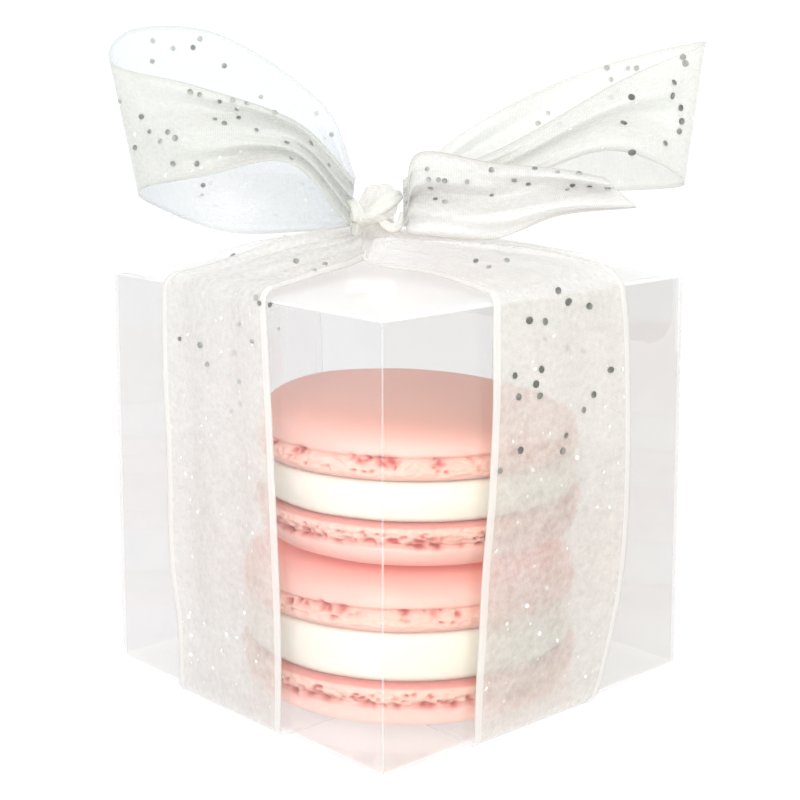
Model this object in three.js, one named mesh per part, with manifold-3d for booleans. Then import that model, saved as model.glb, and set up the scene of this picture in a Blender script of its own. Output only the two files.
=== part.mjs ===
// A clear folded cube box holding two stacked macarons, tied both ways with a wide sheer ribbon and a bow.
// Millimetres, +Z up. The origin is the middle of the underside, on the surface that the tied box stands on.
// +X and -Y are the two faces of the box that show in front.

import * as THREE from "three";
import { mergeVertices } from "three/addons/utils/BufferGeometryUtils.js";
import Module from "manifold-3d";

const wasm = await Module();
wasm.setup();

// Driving dimensions of the box
const boxSide = 50.8;
const boxHeight = 51.2;
const plasticSheet = 0.3;
const lidSlit = 0.3;
const tuckFlapDepth = 9;
const tuckFlapCorner = 4;

// Driving dimensions of the ribbon
const ribbonSheet = 0.4;
const ribbonGap = 0.25;

// Driving dimensions of a macaron, and where the two stand on the box's floor
const footHeight = 2.5;
const layerGap = 0.1;
const macarons = [
  { name: "lower", x: 3.4, y: -1.0, radius: 21.2, bottom: 5.5, filling: 6.1, top: 6.3, turn: 0.4, seed: 11 },
  { name: "upper", x: 4.1, y: -0.2, radius: 20.4, bottom: 6.3, filling: 4.9, top: 6.6, turn: 2.1, seed: 47 },
];

// The bow faces the box's near corner: "across" runs to its right and "ahead" towards who looks at it
const bowTurn = THREE.MathUtils.degToRad(47.4);
const knotAcross = -2.4;
const knotRise = 8.1;
const knotHalfLength = 2.8;
const knotRadius = 2.9;

// Places worked out from the sizes above
const boxFloor = ribbonSheet + ribbonGap;
const boxTop = boxFloor + boxHeight;
const across = new THREE.Vector3(Math.cos(bowTurn), Math.sin(bowTurn), 0);
const ahead = new THREE.Vector3(Math.sin(bowTurn), -Math.cos(bowTurn), 0);
const knot = across.clone().multiplyScalar(knotAcross).setZ(boxTop + knotRise);

// Colours and finishes
const clearPlastic = new THREE.MeshStandardMaterial({
  color: 0xeef0f2, roughness: 0.08, metalness: 0, transparent: true, opacity: 0.3,
});
const pinkShell = new THREE.MeshStandardMaterial({ color: 0xf0b3a6, roughness: 0.6, metalness: 0 });
const creamFilling = new THREE.MeshStandardMaterial({ color: 0xfdf8ec, roughness: 0.5, metalness: 0 });
const sheerRibbon = new THREE.MeshStandardMaterial({
  color: 0xf1f1ec, roughness: 0.55, metalness: 0, transparent: true, opacity: 0.6,
});

const part = new THREE.Group();

function addMesh(name, geometry, material) {
  const mesh = new THREE.Mesh(geometry, material);
  mesh.name = name;
  part.add(mesh);
}

// A value that passes smoothly through [position, value] pairs
function follow(pairs, at) {
  const last = pairs.length - 1;
  let i = 0;
  while (i < last - 1 && at > pairs[i + 1][0]) i += 1;
  const slope = (k) => {
    const a = pairs[Math.max(k - 1, 0)];
    const b = pairs[Math.min(k + 1, last)];
    return (b[1] - a[1]) / (b[0] - a[0]);
  };
  const span = pairs[i + 1][0] - pairs[i][0];
  const t = THREE.MathUtils.clamp((at - pairs[i][0]) / span, 0, 1);
  const start = (1 + 2 * t) * (1 - t) ** 2 * pairs[i][1] + t * (1 - t) ** 2 * span * slope(i);
  const end = t * t * (3 - 2 * t) * pairs[i + 1][1] + t * t * (t - 1) * span * slope(i + 1);
  return start + end;
}

// Repeatable random numbers from 0 to 1
function seededRandom(seed) {
  let state = seed;
  return () => {
    state = (state * 16807) % 2147483647;
    return state / 2147483647;
  };
}

function geometryFrom(points, triangles) {
  const geometry = new THREE.BufferGeometry();
  const flat = points.flatMap((p) => [p.x, p.y, p.z]);
  geometry.setAttribute("position", new THREE.Float32BufferAttribute(flat, 3));
  geometry.setIndex(triangles);
  geometry.computeVertexNormals();
  return geometry;
}

function toSolid(geometry) {
  const bare = geometry.clone();
  bare.deleteAttribute("normal");
  bare.deleteAttribute("uv");
  const merged = mergeVertices(bare, 1e-4);
  return new wasm.Manifold(new wasm.Mesh({
    numProp: 3,
    vertProperties: new Float32Array(merged.attributes.position.array),
    triVerts: new Uint32Array(merged.index.array),
  }));
}

function fromSolid(solid) {
  const mesh = solid.getMesh();
  const geometry = new THREE.BufferGeometry();
  geometry.setAttribute("position", new THREE.BufferAttribute(mesh.vertProperties, 3));
  geometry.setIndex(new THREE.BufferAttribute(mesh.triVerts, 1));
  geometry.computeVertexNormals();
  return geometry;
}

// A closed sheet of even thickness laid along surface(s, t), with s along it and t from -1 to 1 across it
function sheetGeometry(surface, stations, columns, thickness) {
  const grid = stations.map((s) => {
    const row = [];
    for (let j = 0; j <= columns; j += 1) row.push(surface(s, -1 + (2 * j) / columns));
    return row;
  });
  const rows = grid.length;
  const across = columns + 1;
  const front = [];
  const back = [];
  for (let i = 0; i < rows; i += 1) {
    for (let j = 0; j < across; j += 1) {
      const before = grid[Math.max(i - 1, 0)][j];
      const after = grid[Math.min(i + 1, rows - 1)][j];
      const lower = grid[i][Math.max(j - 1, 0)];
      const upper = grid[i][Math.min(j + 1, columns)];
      const normal = after.clone().sub(before).cross(upper.clone().sub(lower)).normalize();
      front.push(grid[i][j].clone().addScaledVector(normal, thickness / 2));
      back.push(grid[i][j].clone().addScaledVector(normal, -thickness / 2));
    }
  }
  const count = front.length;
  const at = (i, j) => i * across + j;
  const triangles = [];
  const quad = (a, b, c, d) => triangles.push(a, b, c, a, c, d);
  for (let i = 0; i < rows - 1; i += 1) {
    for (let j = 0; j < columns; j += 1) {
      quad(at(i, j), at(i + 1, j), at(i + 1, j + 1), at(i, j + 1));
      quad(count + at(i, j), count + at(i, j + 1), count + at(i + 1, j + 1), count + at(i + 1, j));
    }
    quad(at(i, 0), count + at(i, 0), count + at(i + 1, 0), at(i + 1, 0));
    quad(at(i + 1, columns), count + at(i + 1, columns), count + at(i, columns), at(i, columns));
  }
  for (let j = 0; j < columns; j += 1) {
    quad(at(0, j + 1), count + at(0, j + 1), count + at(0, j), at(0, j));
    quad(at(rows - 1, j), count + at(rows - 1, j), count + at(rows - 1, j + 1), at(rows - 1, j + 1));
  }
  return geometryFrom([...front, ...back], triangles);
}

function evenSteps(from, to, count) {
  return Array.from({ length: count }, (_, i) => from + ((to - from) * i) / (count - 1));
}

// The box: four walls and a base, and a lid hinged on the -Y wall whose tuck flap goes down inside the +Y wall
function buildBox() {
  const half = boxSide / 2;
  const inner = half - plasticSheet;
  const block = (x0, x1, y0, y1, z0, z1) => {
    const geometry = new THREE.BoxGeometry(x1 - x0, y1 - y0, z1 - z0);
    return toSolid(geometry.translate((x0 + x1) / 2, (y0 + y1) / 2, (z0 + z1) / 2));
  };
  const lidUnder = boxTop - plasticSheet;
  const past = 1;
  let solid = block(-half, half, -half, half, boxFloor, boxTop);
  solid = solid.subtract(block(-inner, inner, -inner, inner, boxFloor + plasticSheet, lidUnder));
  const lidEdge = inner - lidSlit;
  solid = solid.subtract(block(-inner, -lidEdge, -inner, inner, lidUnder - past, boxTop + past));
  solid = solid.subtract(block(lidEdge, inner, -inner, inner, lidUnder - past, boxTop + past));
  solid = solid.subtract(block(-inner, inner, lidEdge, inner, lidUnder - past, boxTop + past));
  const reach = lidEdge - lidSlit;
  const outline = new THREE.Shape();
  outline.moveTo(-reach, plasticSheet / 2);
  outline.lineTo(-reach, -tuckFlapDepth + tuckFlapCorner);
  outline.absarc(-reach + tuckFlapCorner, -tuckFlapDepth + tuckFlapCorner, tuckFlapCorner, Math.PI, 1.5 * Math.PI);
  outline.absarc(reach - tuckFlapCorner, -tuckFlapDepth + tuckFlapCorner, tuckFlapCorner, 1.5 * Math.PI, 2 * Math.PI);
  outline.lineTo(reach, plasticSheet / 2);
  const flap = new THREE.ExtrudeGeometry(outline, { depth: plasticSheet, bevelEnabled: false, curveSegments: 5 });
  flap.rotateX(Math.PI / 2).translate(0, lidEdge, lidUnder);
  return fromSolid(solid.add(toSolid(flap)));
}

// One macaron shell, its flat side at z = 0 and its dome up: a craggy foot under a smooth, low dome
function shellGeometry(radius, height, seed) {
  const segments = 60;
  const random = seededRandom(seed);
  const crags = Array.from({ length: segments }, () => random());
  const notches = Array.from({ length: segments }, () => (random() > 0.8 ? 1 : 0));
  const domeStart = footHeight + 0.35;
  const boxiness = 0.27;
  const profile = [
    { r: 0, z: 0, crag: 0 },
    { r: 0.9, z: 0, crag: 0 },
    { r: 0.985, z: 0.35, crag: 0.5 },
    { r: 1.0, z: 1.0, crag: 1 },
    { r: 0.99, z: 1.7, crag: 1 },
    { r: 0.955, z: footHeight, crag: 0.7 },
    { r: 0.978, z: domeStart, crag: 0.15 },
  ];
  for (const turn of [14, 32, 50, 66, 80, 90]) {
    const angle = THREE.MathUtils.degToRad(turn);
    profile.push({
      r: 0.985 * Math.cos(angle) ** boxiness,
      z: domeStart + (height - domeStart) * Math.sin(angle),
      crag: 0,
    });
  }
  const cragDepth = 0.5;
  const notchDepth = 0.6;
  const outOfRound = 0.004;
  const points = [new THREE.Vector3(0, 0, 0)];
  for (const ring of profile.slice(1, -1)) {
    for (let k = 0; k < segments; k += 1) {
      const angle = (2 * Math.PI * k) / segments;
      const sunk = ring.crag * (cragDepth * (crags[k] - 0.5) + notchDepth * notches[k]);
      const r = radius * ring.r * (1 + outOfRound * Math.sin(2 * angle + seed)) - sunk;
      points.push(new THREE.Vector3(r * Math.cos(angle), r * Math.sin(angle), ring.z));
    }
  }
  points.push(new THREE.Vector3(0, 0, height));
  return ringsGeometry(points, profile.length - 2, segments);
}

// Rings of points from a lower pole to an upper pole, joined into a closed surface
function ringsGeometry(points, rings, segments) {
  const triangles = [];
  const top = points.length - 1;
  for (let k = 0; k < segments; k += 1) {
    const next = (k + 1) % segments;
    triangles.push(0, 1 + next, 1 + k);
    const last = 1 + (rings - 1) * segments;
    triangles.push(top, last + k, last + next);
    for (let i = 0; i < rings - 1; i += 1) {
      const low = 1 + i * segments;
      const high = low + segments;
      triangles.push(low + k, low + next, high + next, low + k, high + next, high + k);
    }
  }
  return geometryFrom(points, triangles);
}

// The cream between two shells: a thick disc with a softly bulging, slightly uneven side
function fillingGeometry(radius, height, seed) {
  const segments = 48;
  const random = seededRandom(seed);
  const phase = random() * 2 * Math.PI;
  const side = [[0, 0.945], [0.12, 0.972], [0.5, 0.982], [0.88, 0.972], [1, 0.945]];
  const points = [new THREE.Vector3(0, 0, 0)];
  for (const [level, share] of side) {
    for (let k = 0; k < segments; k += 1) {
      const angle = (2 * Math.PI * k) / segments;
      const wander = 0.12 * Math.sin(3 * angle + phase) + 0.1 * Math.sin(7 * angle - phase + 3 * level);
      const r = radius * share + wander;
      points.push(new THREE.Vector3(r * Math.cos(angle), r * Math.sin(angle), height * level));
    }
  }
  points.push(new THREE.Vector3(0, 0, height));
  return ringsGeometry(points, side.length, segments);
}

function addMacarons() {
  let floor = boxFloor + plasticSheet + layerGap;
  for (const { name, x, y, radius, bottom, filling, top, turn, seed } of macarons) {
    const place = (geometry, z) => geometry.rotateZ(turn).translate(x, y, z);
    const under = shellGeometry(radius, bottom, seed).rotateX(Math.PI);
    addMesh(`macaron_${name}_bottom_shell`, place(under, floor + bottom), pinkShell);
    const fillingFloor = floor + bottom + layerGap;
    const cream = fillingGeometry(radius, filling, seed + 1);
    addMesh(`macaron_${name}_filling`, place(cream, fillingFloor), creamFilling);
    const topFloor = fillingFloor + filling + layerGap;
    const over = shellGeometry(radius * 0.99, top, seed + 2);
    addMesh(`macaron_${name}_top_shell`, place(over, topFloor), pinkShell);
    floor = topFloor + top + layerGap;
  }
}

// The wrap: each arm leaves the gather under the knot, crosses the lid, bends over its edge, runs down a wall
// and round under the base. "low" and "high" are the places of its two edges as [along the arm, sideways],
// where along the arm is 0 at the gather, 0.45 at the lid's edge, 1 at the base's edge and 1.3 at its middle.
const lidEdgeAt = 0.45;
const baseEdgeAt = 1;
const baseMiddleAt = 1.3;
const arms = {
  front: {
    low: [[0, -4], [0.25, -8.6], [0.45, -12.9], [0.6, -13.9], [0.68, -13.4], [0.82, -13.2], [0.89, -11.9], [1, -11.6], [1.3, -9]],
    high: [[0, 1], [0.25, 4.4], [0.45, 6.5], [0.6, 7.1], [0.73, 7.8], [0.85, 8.4], [1, 8.2], [1.3, 8]],
  },
  right: {
    low: [[0, -4.2], [0.25, -6.4], [0.47, -9.4], [0.6, -9.3], [0.7, -9.9], [0.8, -11], [1, -11.7], [1.3, -9]],
    high: [[0, 0.9], [0.25, 6.3], [0.45, 9.6], [0.53, 14], [0.65, 15], [0.77, 14.9], [0.86, 13.6], [0.95, 10.6], [1, 8], [1.3, 8]],
  },
  back: {
    low: [[0, -4], [0.25, -5.6], [0.45, -7.5], [0.6, -8.4], [0.85, -8.6], [1, -8.4], [1.3, -8]],
    high: [[0, 1], [0.25, 6.6], [0.45, 10.3], [0.6, 13.6], [0.85, 12.4], [1, 9.6], [1.3, 8]],
  },
  left: {
    low: [[0, -4.2], [0.25, -6.4], [0.45, -8.6], [0.6, -12.2], [0.85, -12.4], [1, -9.8], [1.3, -8]],
    high: [[0, 0.9], [0.25, 5.6], [0.45, 8.4], [0.6, 9.6], [0.85, 9.8], [1, 9.2], [1.3, 8]],
  },
};
const gatherRadius = 3.2;
const gatherTop = boxTop + 4.3;
const lidBend = 1.6;
const lidStandOff = 0.8;
const baseBend = 0.95;
const wallStandOff = ribbonGap + ribbonSheet / 2;

// The middle line of an arm as distance out from the box's axis, height and outward normal
function armLine(at, knotOut) {
  const half = boxSide / 2;
  const lidLevel = boxTop + lidStandOff;
  const bendStart = lidEdgeAt - 0.04;
  const bendEnd = lidEdgeAt + 0.04;
  const lidBendOut = half + lidStandOff - lidBend;
  if (at < bendStart) {
    const t = at / bendStart;
    const start = knotOut + gatherRadius * 0.6;
    const rise = follow([[0, 2.4], [0.3, 1.5], [0.7, 0.35], [1, 0]], t);
    return { out: THREE.MathUtils.lerp(start, lidBendOut, t), up: lidLevel + rise, normal: [0, 1] };
  }
  if (at < bendEnd) {
    const angle = ((at - bendStart) / (bendEnd - bendStart)) * (Math.PI / 2);
    const normal = [Math.sin(angle), Math.cos(angle)];
    return { out: lidBendOut + lidBend * normal[0], up: lidLevel - lidBend * (1 - normal[1]), normal };
  }
  const baseBendTop = ribbonSheet / 2 + baseBend;
  const baseStart = baseEdgeAt - 0.03;
  const foot = half + wallStandOff + 0.2;
  if (at < baseStart) {
    const t = (at - bendEnd) / (baseStart - bendEnd);
    const out = follow([[0, half + lidStandOff], [0.25, half + wallStandOff], [0.8, half + wallStandOff], [1, foot]], t);
    return { out, up: THREE.MathUtils.lerp(lidLevel - lidBend, baseBendTop, t), normal: [1, 0] };
  }
  if (at < baseEdgeAt) {
    const angle = ((at - baseStart) / (baseEdgeAt - baseStart)) * (Math.PI / 2);
    const normal = [Math.cos(angle), -Math.sin(angle)];
    return { out: foot - baseBend * (1 - normal[0]), up: baseBendTop + baseBend * normal[1], normal };
  }
  const t = (at - baseEdgeAt) / (baseMiddleAt - baseEdgeAt);
  return { out: THREE.MathUtils.lerp(foot - baseBend, 0, t), up: ribbonSheet / 2, normal: [0, -1] };
}

// Soft lengthwise folds that stand out from the arm's line: deep at the gather, none under the base
function armFold(at, t, phase) {
  const depth = follow([[0, 1.2], [0.25, 0.9], [0.45, 0.35], [0.6, 0.45], [0.85, 0.5], [0.97, 0.1], [1.3, 0]], at);
  return at > baseEdgeAt - 0.03 ? 0 : depth * (0.5 + 0.5 * Math.sin(2.2 * Math.PI * t + phase));
}

function wrapSurface(outward, sideways, armAhead, armBehind) {
  const knotOut = knot.dot(outward);
  return (s, t) => {
    const behind = s > baseMiddleAt;
    const arm = behind ? armBehind : armAhead;
    const at = behind ? 2 * baseMiddleAt - s : s;
    const side = behind ? -1 : 1;
    const line = armLine(at, side * knotOut);
    const fold = armFold(at, t, behind ? 1.1 : 2.6);
    const lateral = THREE.MathUtils.lerp(follow(arm.low, at), follow(arm.high, at), (1 + t) / 2);
    const point = sideways.clone().multiplyScalar(lateral);
    point.addScaledVector(outward, side * (line.out + fold * line.normal[0]));
    return point.setZ(line.up + fold * line.normal[1]);
  };
}

function buildWrap() {
  const half = [
    ...evenSteps(0, 0.37, 7), ...evenSteps(0.41, 0.49, 5), ...evenSteps(0.57, 0.9, 6), ...evenSteps(0.97, 1, 4), 1.12,
  ];
  const stations = [...half, baseMiddleAt, ...half.map((s) => 2 * baseMiddleAt - s).reverse()];
  const x = new THREE.Vector3(1, 0, 0);
  const y = new THREE.Vector3(0, 1, 0);
  const alongY = wrapSurface(y.clone().negate(), x, arms.front, arms.back);
  const alongX = wrapSurface(x, y, arms.right, arms.left);
  const columns = 6;
  const first = toSolid(sheetGeometry(alongY, stations, columns, ribbonSheet));
  const second = toSolid(sheetGeometry((s, t) => alongX(s, -t), stations, columns, ribbonSheet));
  const gatherBottom = boxTop + 1.9;
  const profile = [[0, gatherBottom], [2, gatherBottom], [gatherRadius, boxTop + 3], [2.6, gatherTop], [0, gatherTop]];
  const gather = new THREE.LatheGeometry(profile.map(([r, z]) => new THREE.Vector2(r, z)), 14);
  gather.rotateX(Math.PI / 2).translate(knot.x, knot.y, 0);
  return fromSolid(first.add(second).add(toSolid(gather)));
}

// A bow piece: each station gives the upper and lower edge of the ribbon as [across, up, ahead],
// with "up" counted from the lid
function bowSurface(edges, pleats, pleatDepth) {
  const last = edges.length - 1;
  const along = (edge, axis, s) => follow(edges.map((station, i) => [i / last, station[edge][axis]]), s);
  return (s, t) => {
    const share = (1 + t) / 2;
    const mix = (axis) => THREE.MathUtils.lerp(along("low", axis, s), along("high", axis, s), share);
    const open = Math.min(1, 4 * s, 4 * (1 - s));
    const pleat = pleatDepth * (1 - 0.6 * open) * Math.sin(pleats * Math.PI * t);
    const point = across.clone().multiplyScalar(mix(0)).addScaledVector(ahead, mix(2) + pleat);
    return point.setZ(boxTop + mix(1));
  };
}

const bowLoops = {
  left: [
    { high: [-5.3, 11.6, -1.6], low: [-5.9, 5.8, -1.4] },
    { high: [-9.6, 21.0, -6.0], low: [-11.5, 4.6, -5.2] },
    { high: [-22.5, 29.6, -8.4], low: [-22.0, 4.3, -6.8] },
    { high: [-33.4, 30.4, -5.8], low: [-30.4, 7.8, -3.8] },
    { high: [-35.4, 26.2, -0.4], low: [-31.7, 10.7, 3.0] },
    { high: [-24.8, 23.7, 4.8], low: [-23.1, 13.2, 12.4] },
    { high: [-12.4, 19.2, 3.0], low: [-12.8, 14.6, 8.6] },
    { high: [-5.3, 11.9, 1.0], low: [-5.9, 6.4, 2.2] },
  ],
  right: [
    { high: [0.8, 11.2, -1.6], low: [0.9, 5.6, -1.4] },
    { high: [10.8, 18.7, -5.6], low: [12.0, 7.2, -5.0] },
    { high: [25.1, 25.2, -8.2], low: [26.0, 9.4, -6.8] },
    { high: [38.5, 28.8, -1.6], low: [35.8, 11.3, 1.6] },
    { high: [27.0, 23.8, 4.8], low: [25.4, 16.2, 10.6] },
    { high: [12.5, 15.4, 1.8], low: [12.9, 11.1, 5.6] },
    { high: [0.8, 11.6, 1.0], low: [0.9, 6.2, 1.6] },
  ],
};

const bowTails = {
  left: [
    { high: [-5.4, 8.6, -4.2], low: [-5.4, 5.2, -5.2] },
    { high: [-12.5, 11.4, -9.8], low: [-12.2, 4.6, -12.4] },
    { high: [-21.0, 11.8, -11.8], low: [-20.4, 4.4, -17.2] },
    { high: [-26.5, 11.4, -12.2], low: [-30.4, 5.4, -16.4] },
  ],
  right: [
    { high: [1.2, 10.0, 3.4], low: [1.2, 6.1, 4.6] },
    { high: [2.8, 15.4, 6.0], low: [2.6, 6.1, 10.6] },
    { high: [11.5, 14.5, 9.2], low: [11.5, 5.9, 15.0] },
    { high: [19.0, 14.0, 11.6], low: [19.0, 8.8, 17.0] },
    { high: [24.5, 13.0, 12.6], low: [28.4, 9.5, 15.5] },
  ],
};

// The knot: the ribbon's middle turn round the two loops, its side pressed into folds
function knotGeometry() {
  const segments = 20;
  const rings = 9;
  const folds = 5;
  const points = [new THREE.Vector3(0, 0, -knotHalfLength)];
  for (const turn of evenSteps(-72, 72, rings)) {
    const angle = THREE.MathUtils.degToRad(turn);
    for (let k = 0; k < segments; k += 1) {
      const round = (2 * Math.PI * k) / segments;
      const crease = 1 + 0.07 * Math.cos(folds * round + 2.4 * Math.sin(angle));
      const r = knotRadius * Math.cos(angle) ** 0.5 * crease;
      points.push(new THREE.Vector3(r * Math.cos(round), r * Math.sin(round), knotHalfLength * Math.sin(angle)));
    }
  }
  points.push(new THREE.Vector3(0, 0, knotHalfLength));
  const geometry = ringsGeometry(points, rings, segments);
  return geometry.rotateY(Math.PI / 2).rotateZ(bowTurn).translate(knot.x, knot.y, knot.z);
}

function addRibbon() {
  addMesh("ribbon_wrap", buildWrap(), sheerRibbon);
  addMesh("bow_knot", knotGeometry(), sheerRibbon);
  for (const [side, edges] of Object.entries(bowLoops)) {
    const geometry = sheetGeometry(bowSurface(edges, 2.5, 0.7), evenSteps(0, 1, 29), 7, ribbonSheet);
    addMesh(`bow_loop_${side}`, geometry, sheerRibbon);
  }
  for (const [side, edges] of Object.entries(bowTails)) {
    const geometry = sheetGeometry(bowSurface(edges, 1.5, 0.6), evenSteps(0, 1, 12), 6, ribbonSheet);
    addMesh(`bow_tail_${side}`, geometry, sheerRibbon);
  }
}

addMesh("clear_box", buildBox(), clearPlastic);
addMacarons();
addRibbon();

export default part;
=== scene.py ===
# Two macarons in a clear folded box, tied both ways with a wide sheer ribbon and a bow
import math
import random

import bpy
import numpy as np
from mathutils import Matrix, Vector, noise


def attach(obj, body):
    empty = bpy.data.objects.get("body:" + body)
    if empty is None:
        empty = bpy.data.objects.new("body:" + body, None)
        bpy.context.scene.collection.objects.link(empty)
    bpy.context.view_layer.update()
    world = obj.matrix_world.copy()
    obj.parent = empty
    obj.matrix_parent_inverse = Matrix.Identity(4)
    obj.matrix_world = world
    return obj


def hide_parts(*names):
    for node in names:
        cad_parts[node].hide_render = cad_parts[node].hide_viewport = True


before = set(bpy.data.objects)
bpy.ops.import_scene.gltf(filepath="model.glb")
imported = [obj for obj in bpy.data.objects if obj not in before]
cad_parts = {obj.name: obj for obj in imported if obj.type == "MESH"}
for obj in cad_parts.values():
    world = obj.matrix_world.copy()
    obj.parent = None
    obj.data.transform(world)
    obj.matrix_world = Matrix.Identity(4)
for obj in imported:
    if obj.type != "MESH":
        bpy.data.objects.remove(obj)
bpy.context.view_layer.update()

scene = bpy.context.scene
mm = 0.001

# Small helpers for shapes. All shapes are worked out in millimetres and scaled when the mesh is made


def follow(pairs, at):
    # a value that passes smoothly through [place, value] pairs
    places, values = np.array(pairs, float).T
    last = len(pairs) - 1
    at = np.asarray(at, float)
    i = np.clip(np.searchsorted(places, at, side="left") - 1, 0, last - 1)
    before = np.maximum(np.arange(last + 1) - 1, 0)
    after = np.minimum(np.arange(last + 1) + 1, last)
    slopes = (values[after] - values[before]) / (places[after] - places[before])
    span = places[i + 1] - places[i]
    t = np.clip((at - places[i]) / span, 0, 1)
    start = (1 + 2 * t) * (1 - t) ** 2 * values[i] + t * (1 - t) ** 2 * span * slopes[i]
    end = t * t * (3 - 2 * t) * values[i + 1] + t * t * (t - 1) * span * slopes[i + 1]
    return start + end


def blend(a, b, share):
    return a + (b - a) * share


def smoothStep(low, high, value):
    t = np.clip((value - low) / (high - low), 0, 1)
    return t * t * (3 - 2 * t)


def wander(x, y, z, scale, seed):
    # smooth noise from about -1 to 1 at each point of three arrays
    shift = 17.3 * seed
    flat = zip(np.ravel(x), np.ravel(y), np.ravel(z))
    out = [noise.noise(Vector((a / scale + shift, b / scale - shift, c / scale))) for a, b, c in flat]
    return np.array(out).reshape(np.shape(x))


def meshPiece(name, points, faces, material, uv=None, marks=None):
    mesh = bpy.data.meshes.new(name)
    mesh.from_pydata((np.asarray(points, float) * mm).tolist(), [], [list(f) for f in faces])
    corners = np.zeros(len(mesh.loops), np.int32)
    mesh.loops.foreach_get("vertex_index", corners)
    if uv is not None:
        layer = mesh.uv_layers.new(name="cut")
        layer.data.foreach_set("uv", np.asarray(uv, np.float32)[corners].ravel())
    for key, values in (marks or {}).items():
        mark = mesh.attributes.new(key, "FLOAT", "POINT")
        mark.data.foreach_set("value", np.asarray(values, np.float32))
    mesh.polygons.foreach_set("use_smooth", np.ones(len(mesh.polygons), bool))
    mesh.materials.append(material)
    mesh.update()
    piece = bpy.data.objects.new(name, mesh)
    scene.collection.objects.link(piece)
    return piece


def gridFaces(rows, columns, first=0, turned=False, ringed=False):
    # quads of a grid of points, closed into a ring along its columns if asked
    faces = []
    for i in range(rows - 1):
        for j in range(columns if ringed else columns - 1):
            over = (j + 1) % columns - j
            a = first + i * columns + j
            b = a + columns
            faces.append((a, a + over, b + over, b) if turned else (a, b, b + over, a + over))
    return faces


def tubeFaces(rows, columns, turned=False):
    # a closed tube: its rings, and triangles to the two end points that follow them
    faces = gridFaces(rows, columns, 0, turned, True)
    count = rows * columns
    for j in range(columns):
        k = (j + 1) % columns
        ends = [(count, j, k), (count + 1, count - columns + k, count - columns + j)]
        faces += [(a, c, b) if turned else (a, b, c) for a, b, c in ends]
    return faces


def tubePoints(centre, ring, around, sideways, flat=1.0):
    # rings of points round a centre line, and its two ends
    tangent = np.gradient(centre, axis=0)
    tangent /= np.linalg.norm(tangent, axis=1, keepdims=True)
    side = np.cross(tangent, sideways)
    side /= np.linalg.norm(side, axis=1, keepdims=True)
    up = np.cross(side, tangent)
    wide = (ring * np.cos(around))[..., None] * side[:, None, :] * flat
    high = (ring * np.sin(around))[..., None] * up[:, None, :]
    return np.vstack([(centre[:, None, :] + wide + high).reshape(-1, 3), centre[0], centre[-1]])


def ringGrid(rings, segments):
    # angle, share of the radius and level at each point of rings given as [share, level]
    rings = np.array(rings, float)
    angle = np.linspace(0, 2 * np.pi, segments, endpoint=False) + 0 * rings[:, :1]
    return angle, rings[:, :1] + 0 * angle, rings[:, 1:] + 0 * angle


# Helpers for materials

def feed(node, inputs):
    # gives each input a value, or a link from another node's output
    for key, value in inputs.items():
        socket = node.inputs[key]
        if isinstance(value, bpy.types.NodeSocket):
            node.id_data.links.new(value, socket)
        elif socket.type == "RGBA" and len(value) == 3:
            socket.default_value = (*value, 1)
        else:
            socket.default_value = value


def addNode(tree, kind, inputs=None, **settings):
    node = tree.nodes.new(kind)
    for key, value in settings.items():
        setattr(node, key, value)
    feed(node, inputs or {})
    return node


def newMaterial(name, inputs):
    material = bpy.data.materials.new(name)
    material.use_nodes = True
    shader = material.node_tree.nodes["Principled BSDF"]
    feed(shader, inputs)
    return material, material.node_tree, shader


def mathNode(tree, operation, *values):
    return addNode(tree, "ShaderNodeMath", dict(enumerate(values)), operation=operation).outputs[0]


def rampNode(tree, value, low, high, outLow=0.0, outHigh=1.0):
    inputs = {"Value": value, "From Min": low, "From Max": high, "To Min": outLow, "To Max": outHigh}
    return addNode(tree, "ShaderNodeMapRange", inputs, interpolation_type="SMOOTHSTEP").outputs["Result"]


def mixColour(tree, share, a, b):
    return addNode(tree, "ShaderNodeMix", {0: share, 6: a, 7: b}, data_type="RGBA").outputs[2]


def noiseNode(tree, place, scale, detail=2.0, roughness=0.5):
    inputs = {"Vector": place, "Scale": scale, "Detail": detail, "Roughness": roughness}
    return addNode(tree, "ShaderNodeTexNoise", inputs).outputs["Fac"]


def axesNode(tree, place):
    return addNode(tree, "ShaderNodeSeparateXYZ", {0: place}).outputs


def objectPlace(tree):
    return addNode(tree, "ShaderNodeTexCoord").outputs["Object"]


def markNode(tree, name):
    return addNode(tree, "ShaderNodeAttribute", attribute_name=name).outputs["Fac"]


def plainShader(tree, kind, colour):
    return addNode(tree, "ShaderNodeBsdf" + kind, {"Color": colour}).outputs[0]


def mixShaders(tree, share, a, b):
    return addNode(tree, "ShaderNodeMixShader", {0: share, 1: a, 2: b}).outputs[0]


def showSurface(tree, surface):
    feed(tree.nodes["Material Output"], {"Surface": surface})


def addBump(tree, shader, height, distance, strength):
    bump = addNode(tree, "ShaderNodeBump", {"Height": height, "Distance": distance, "Strength": strength})
    feed(shader, {"Normal": bump.outputs[0]})


def newGroup(name, values, outputs):
    # a shader group that reads a Place and the given numbers and colours
    group = bpy.data.node_groups.new(name, "ShaderNodeTree")
    group.interface.new_socket(name="Place", in_out="INPUT", socket_type="NodeSocketVector")
    for key, value in values.items():
        kind = "NodeSocketFloat" if isinstance(value, float) else "NodeSocketColor"
        group.interface.new_socket(name=key, in_out="INPUT", socket_type=kind).default_value = value
    for key in outputs:
        kind = "NodeSocketColor" if key == "Colour" else "NodeSocketFloat"
        group.interface.new_socket(name=key, in_out="OUTPUT", socket_type=kind)
    return group, group.nodes.new("NodeGroupInput").outputs, group.nodes.new("NodeGroupOutput")


def placeGroup(tree, group, place, values):
    return addNode(tree, "ShaderNodeGroup", {"Place": place, **values}, node_tree=group).outputs


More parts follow.
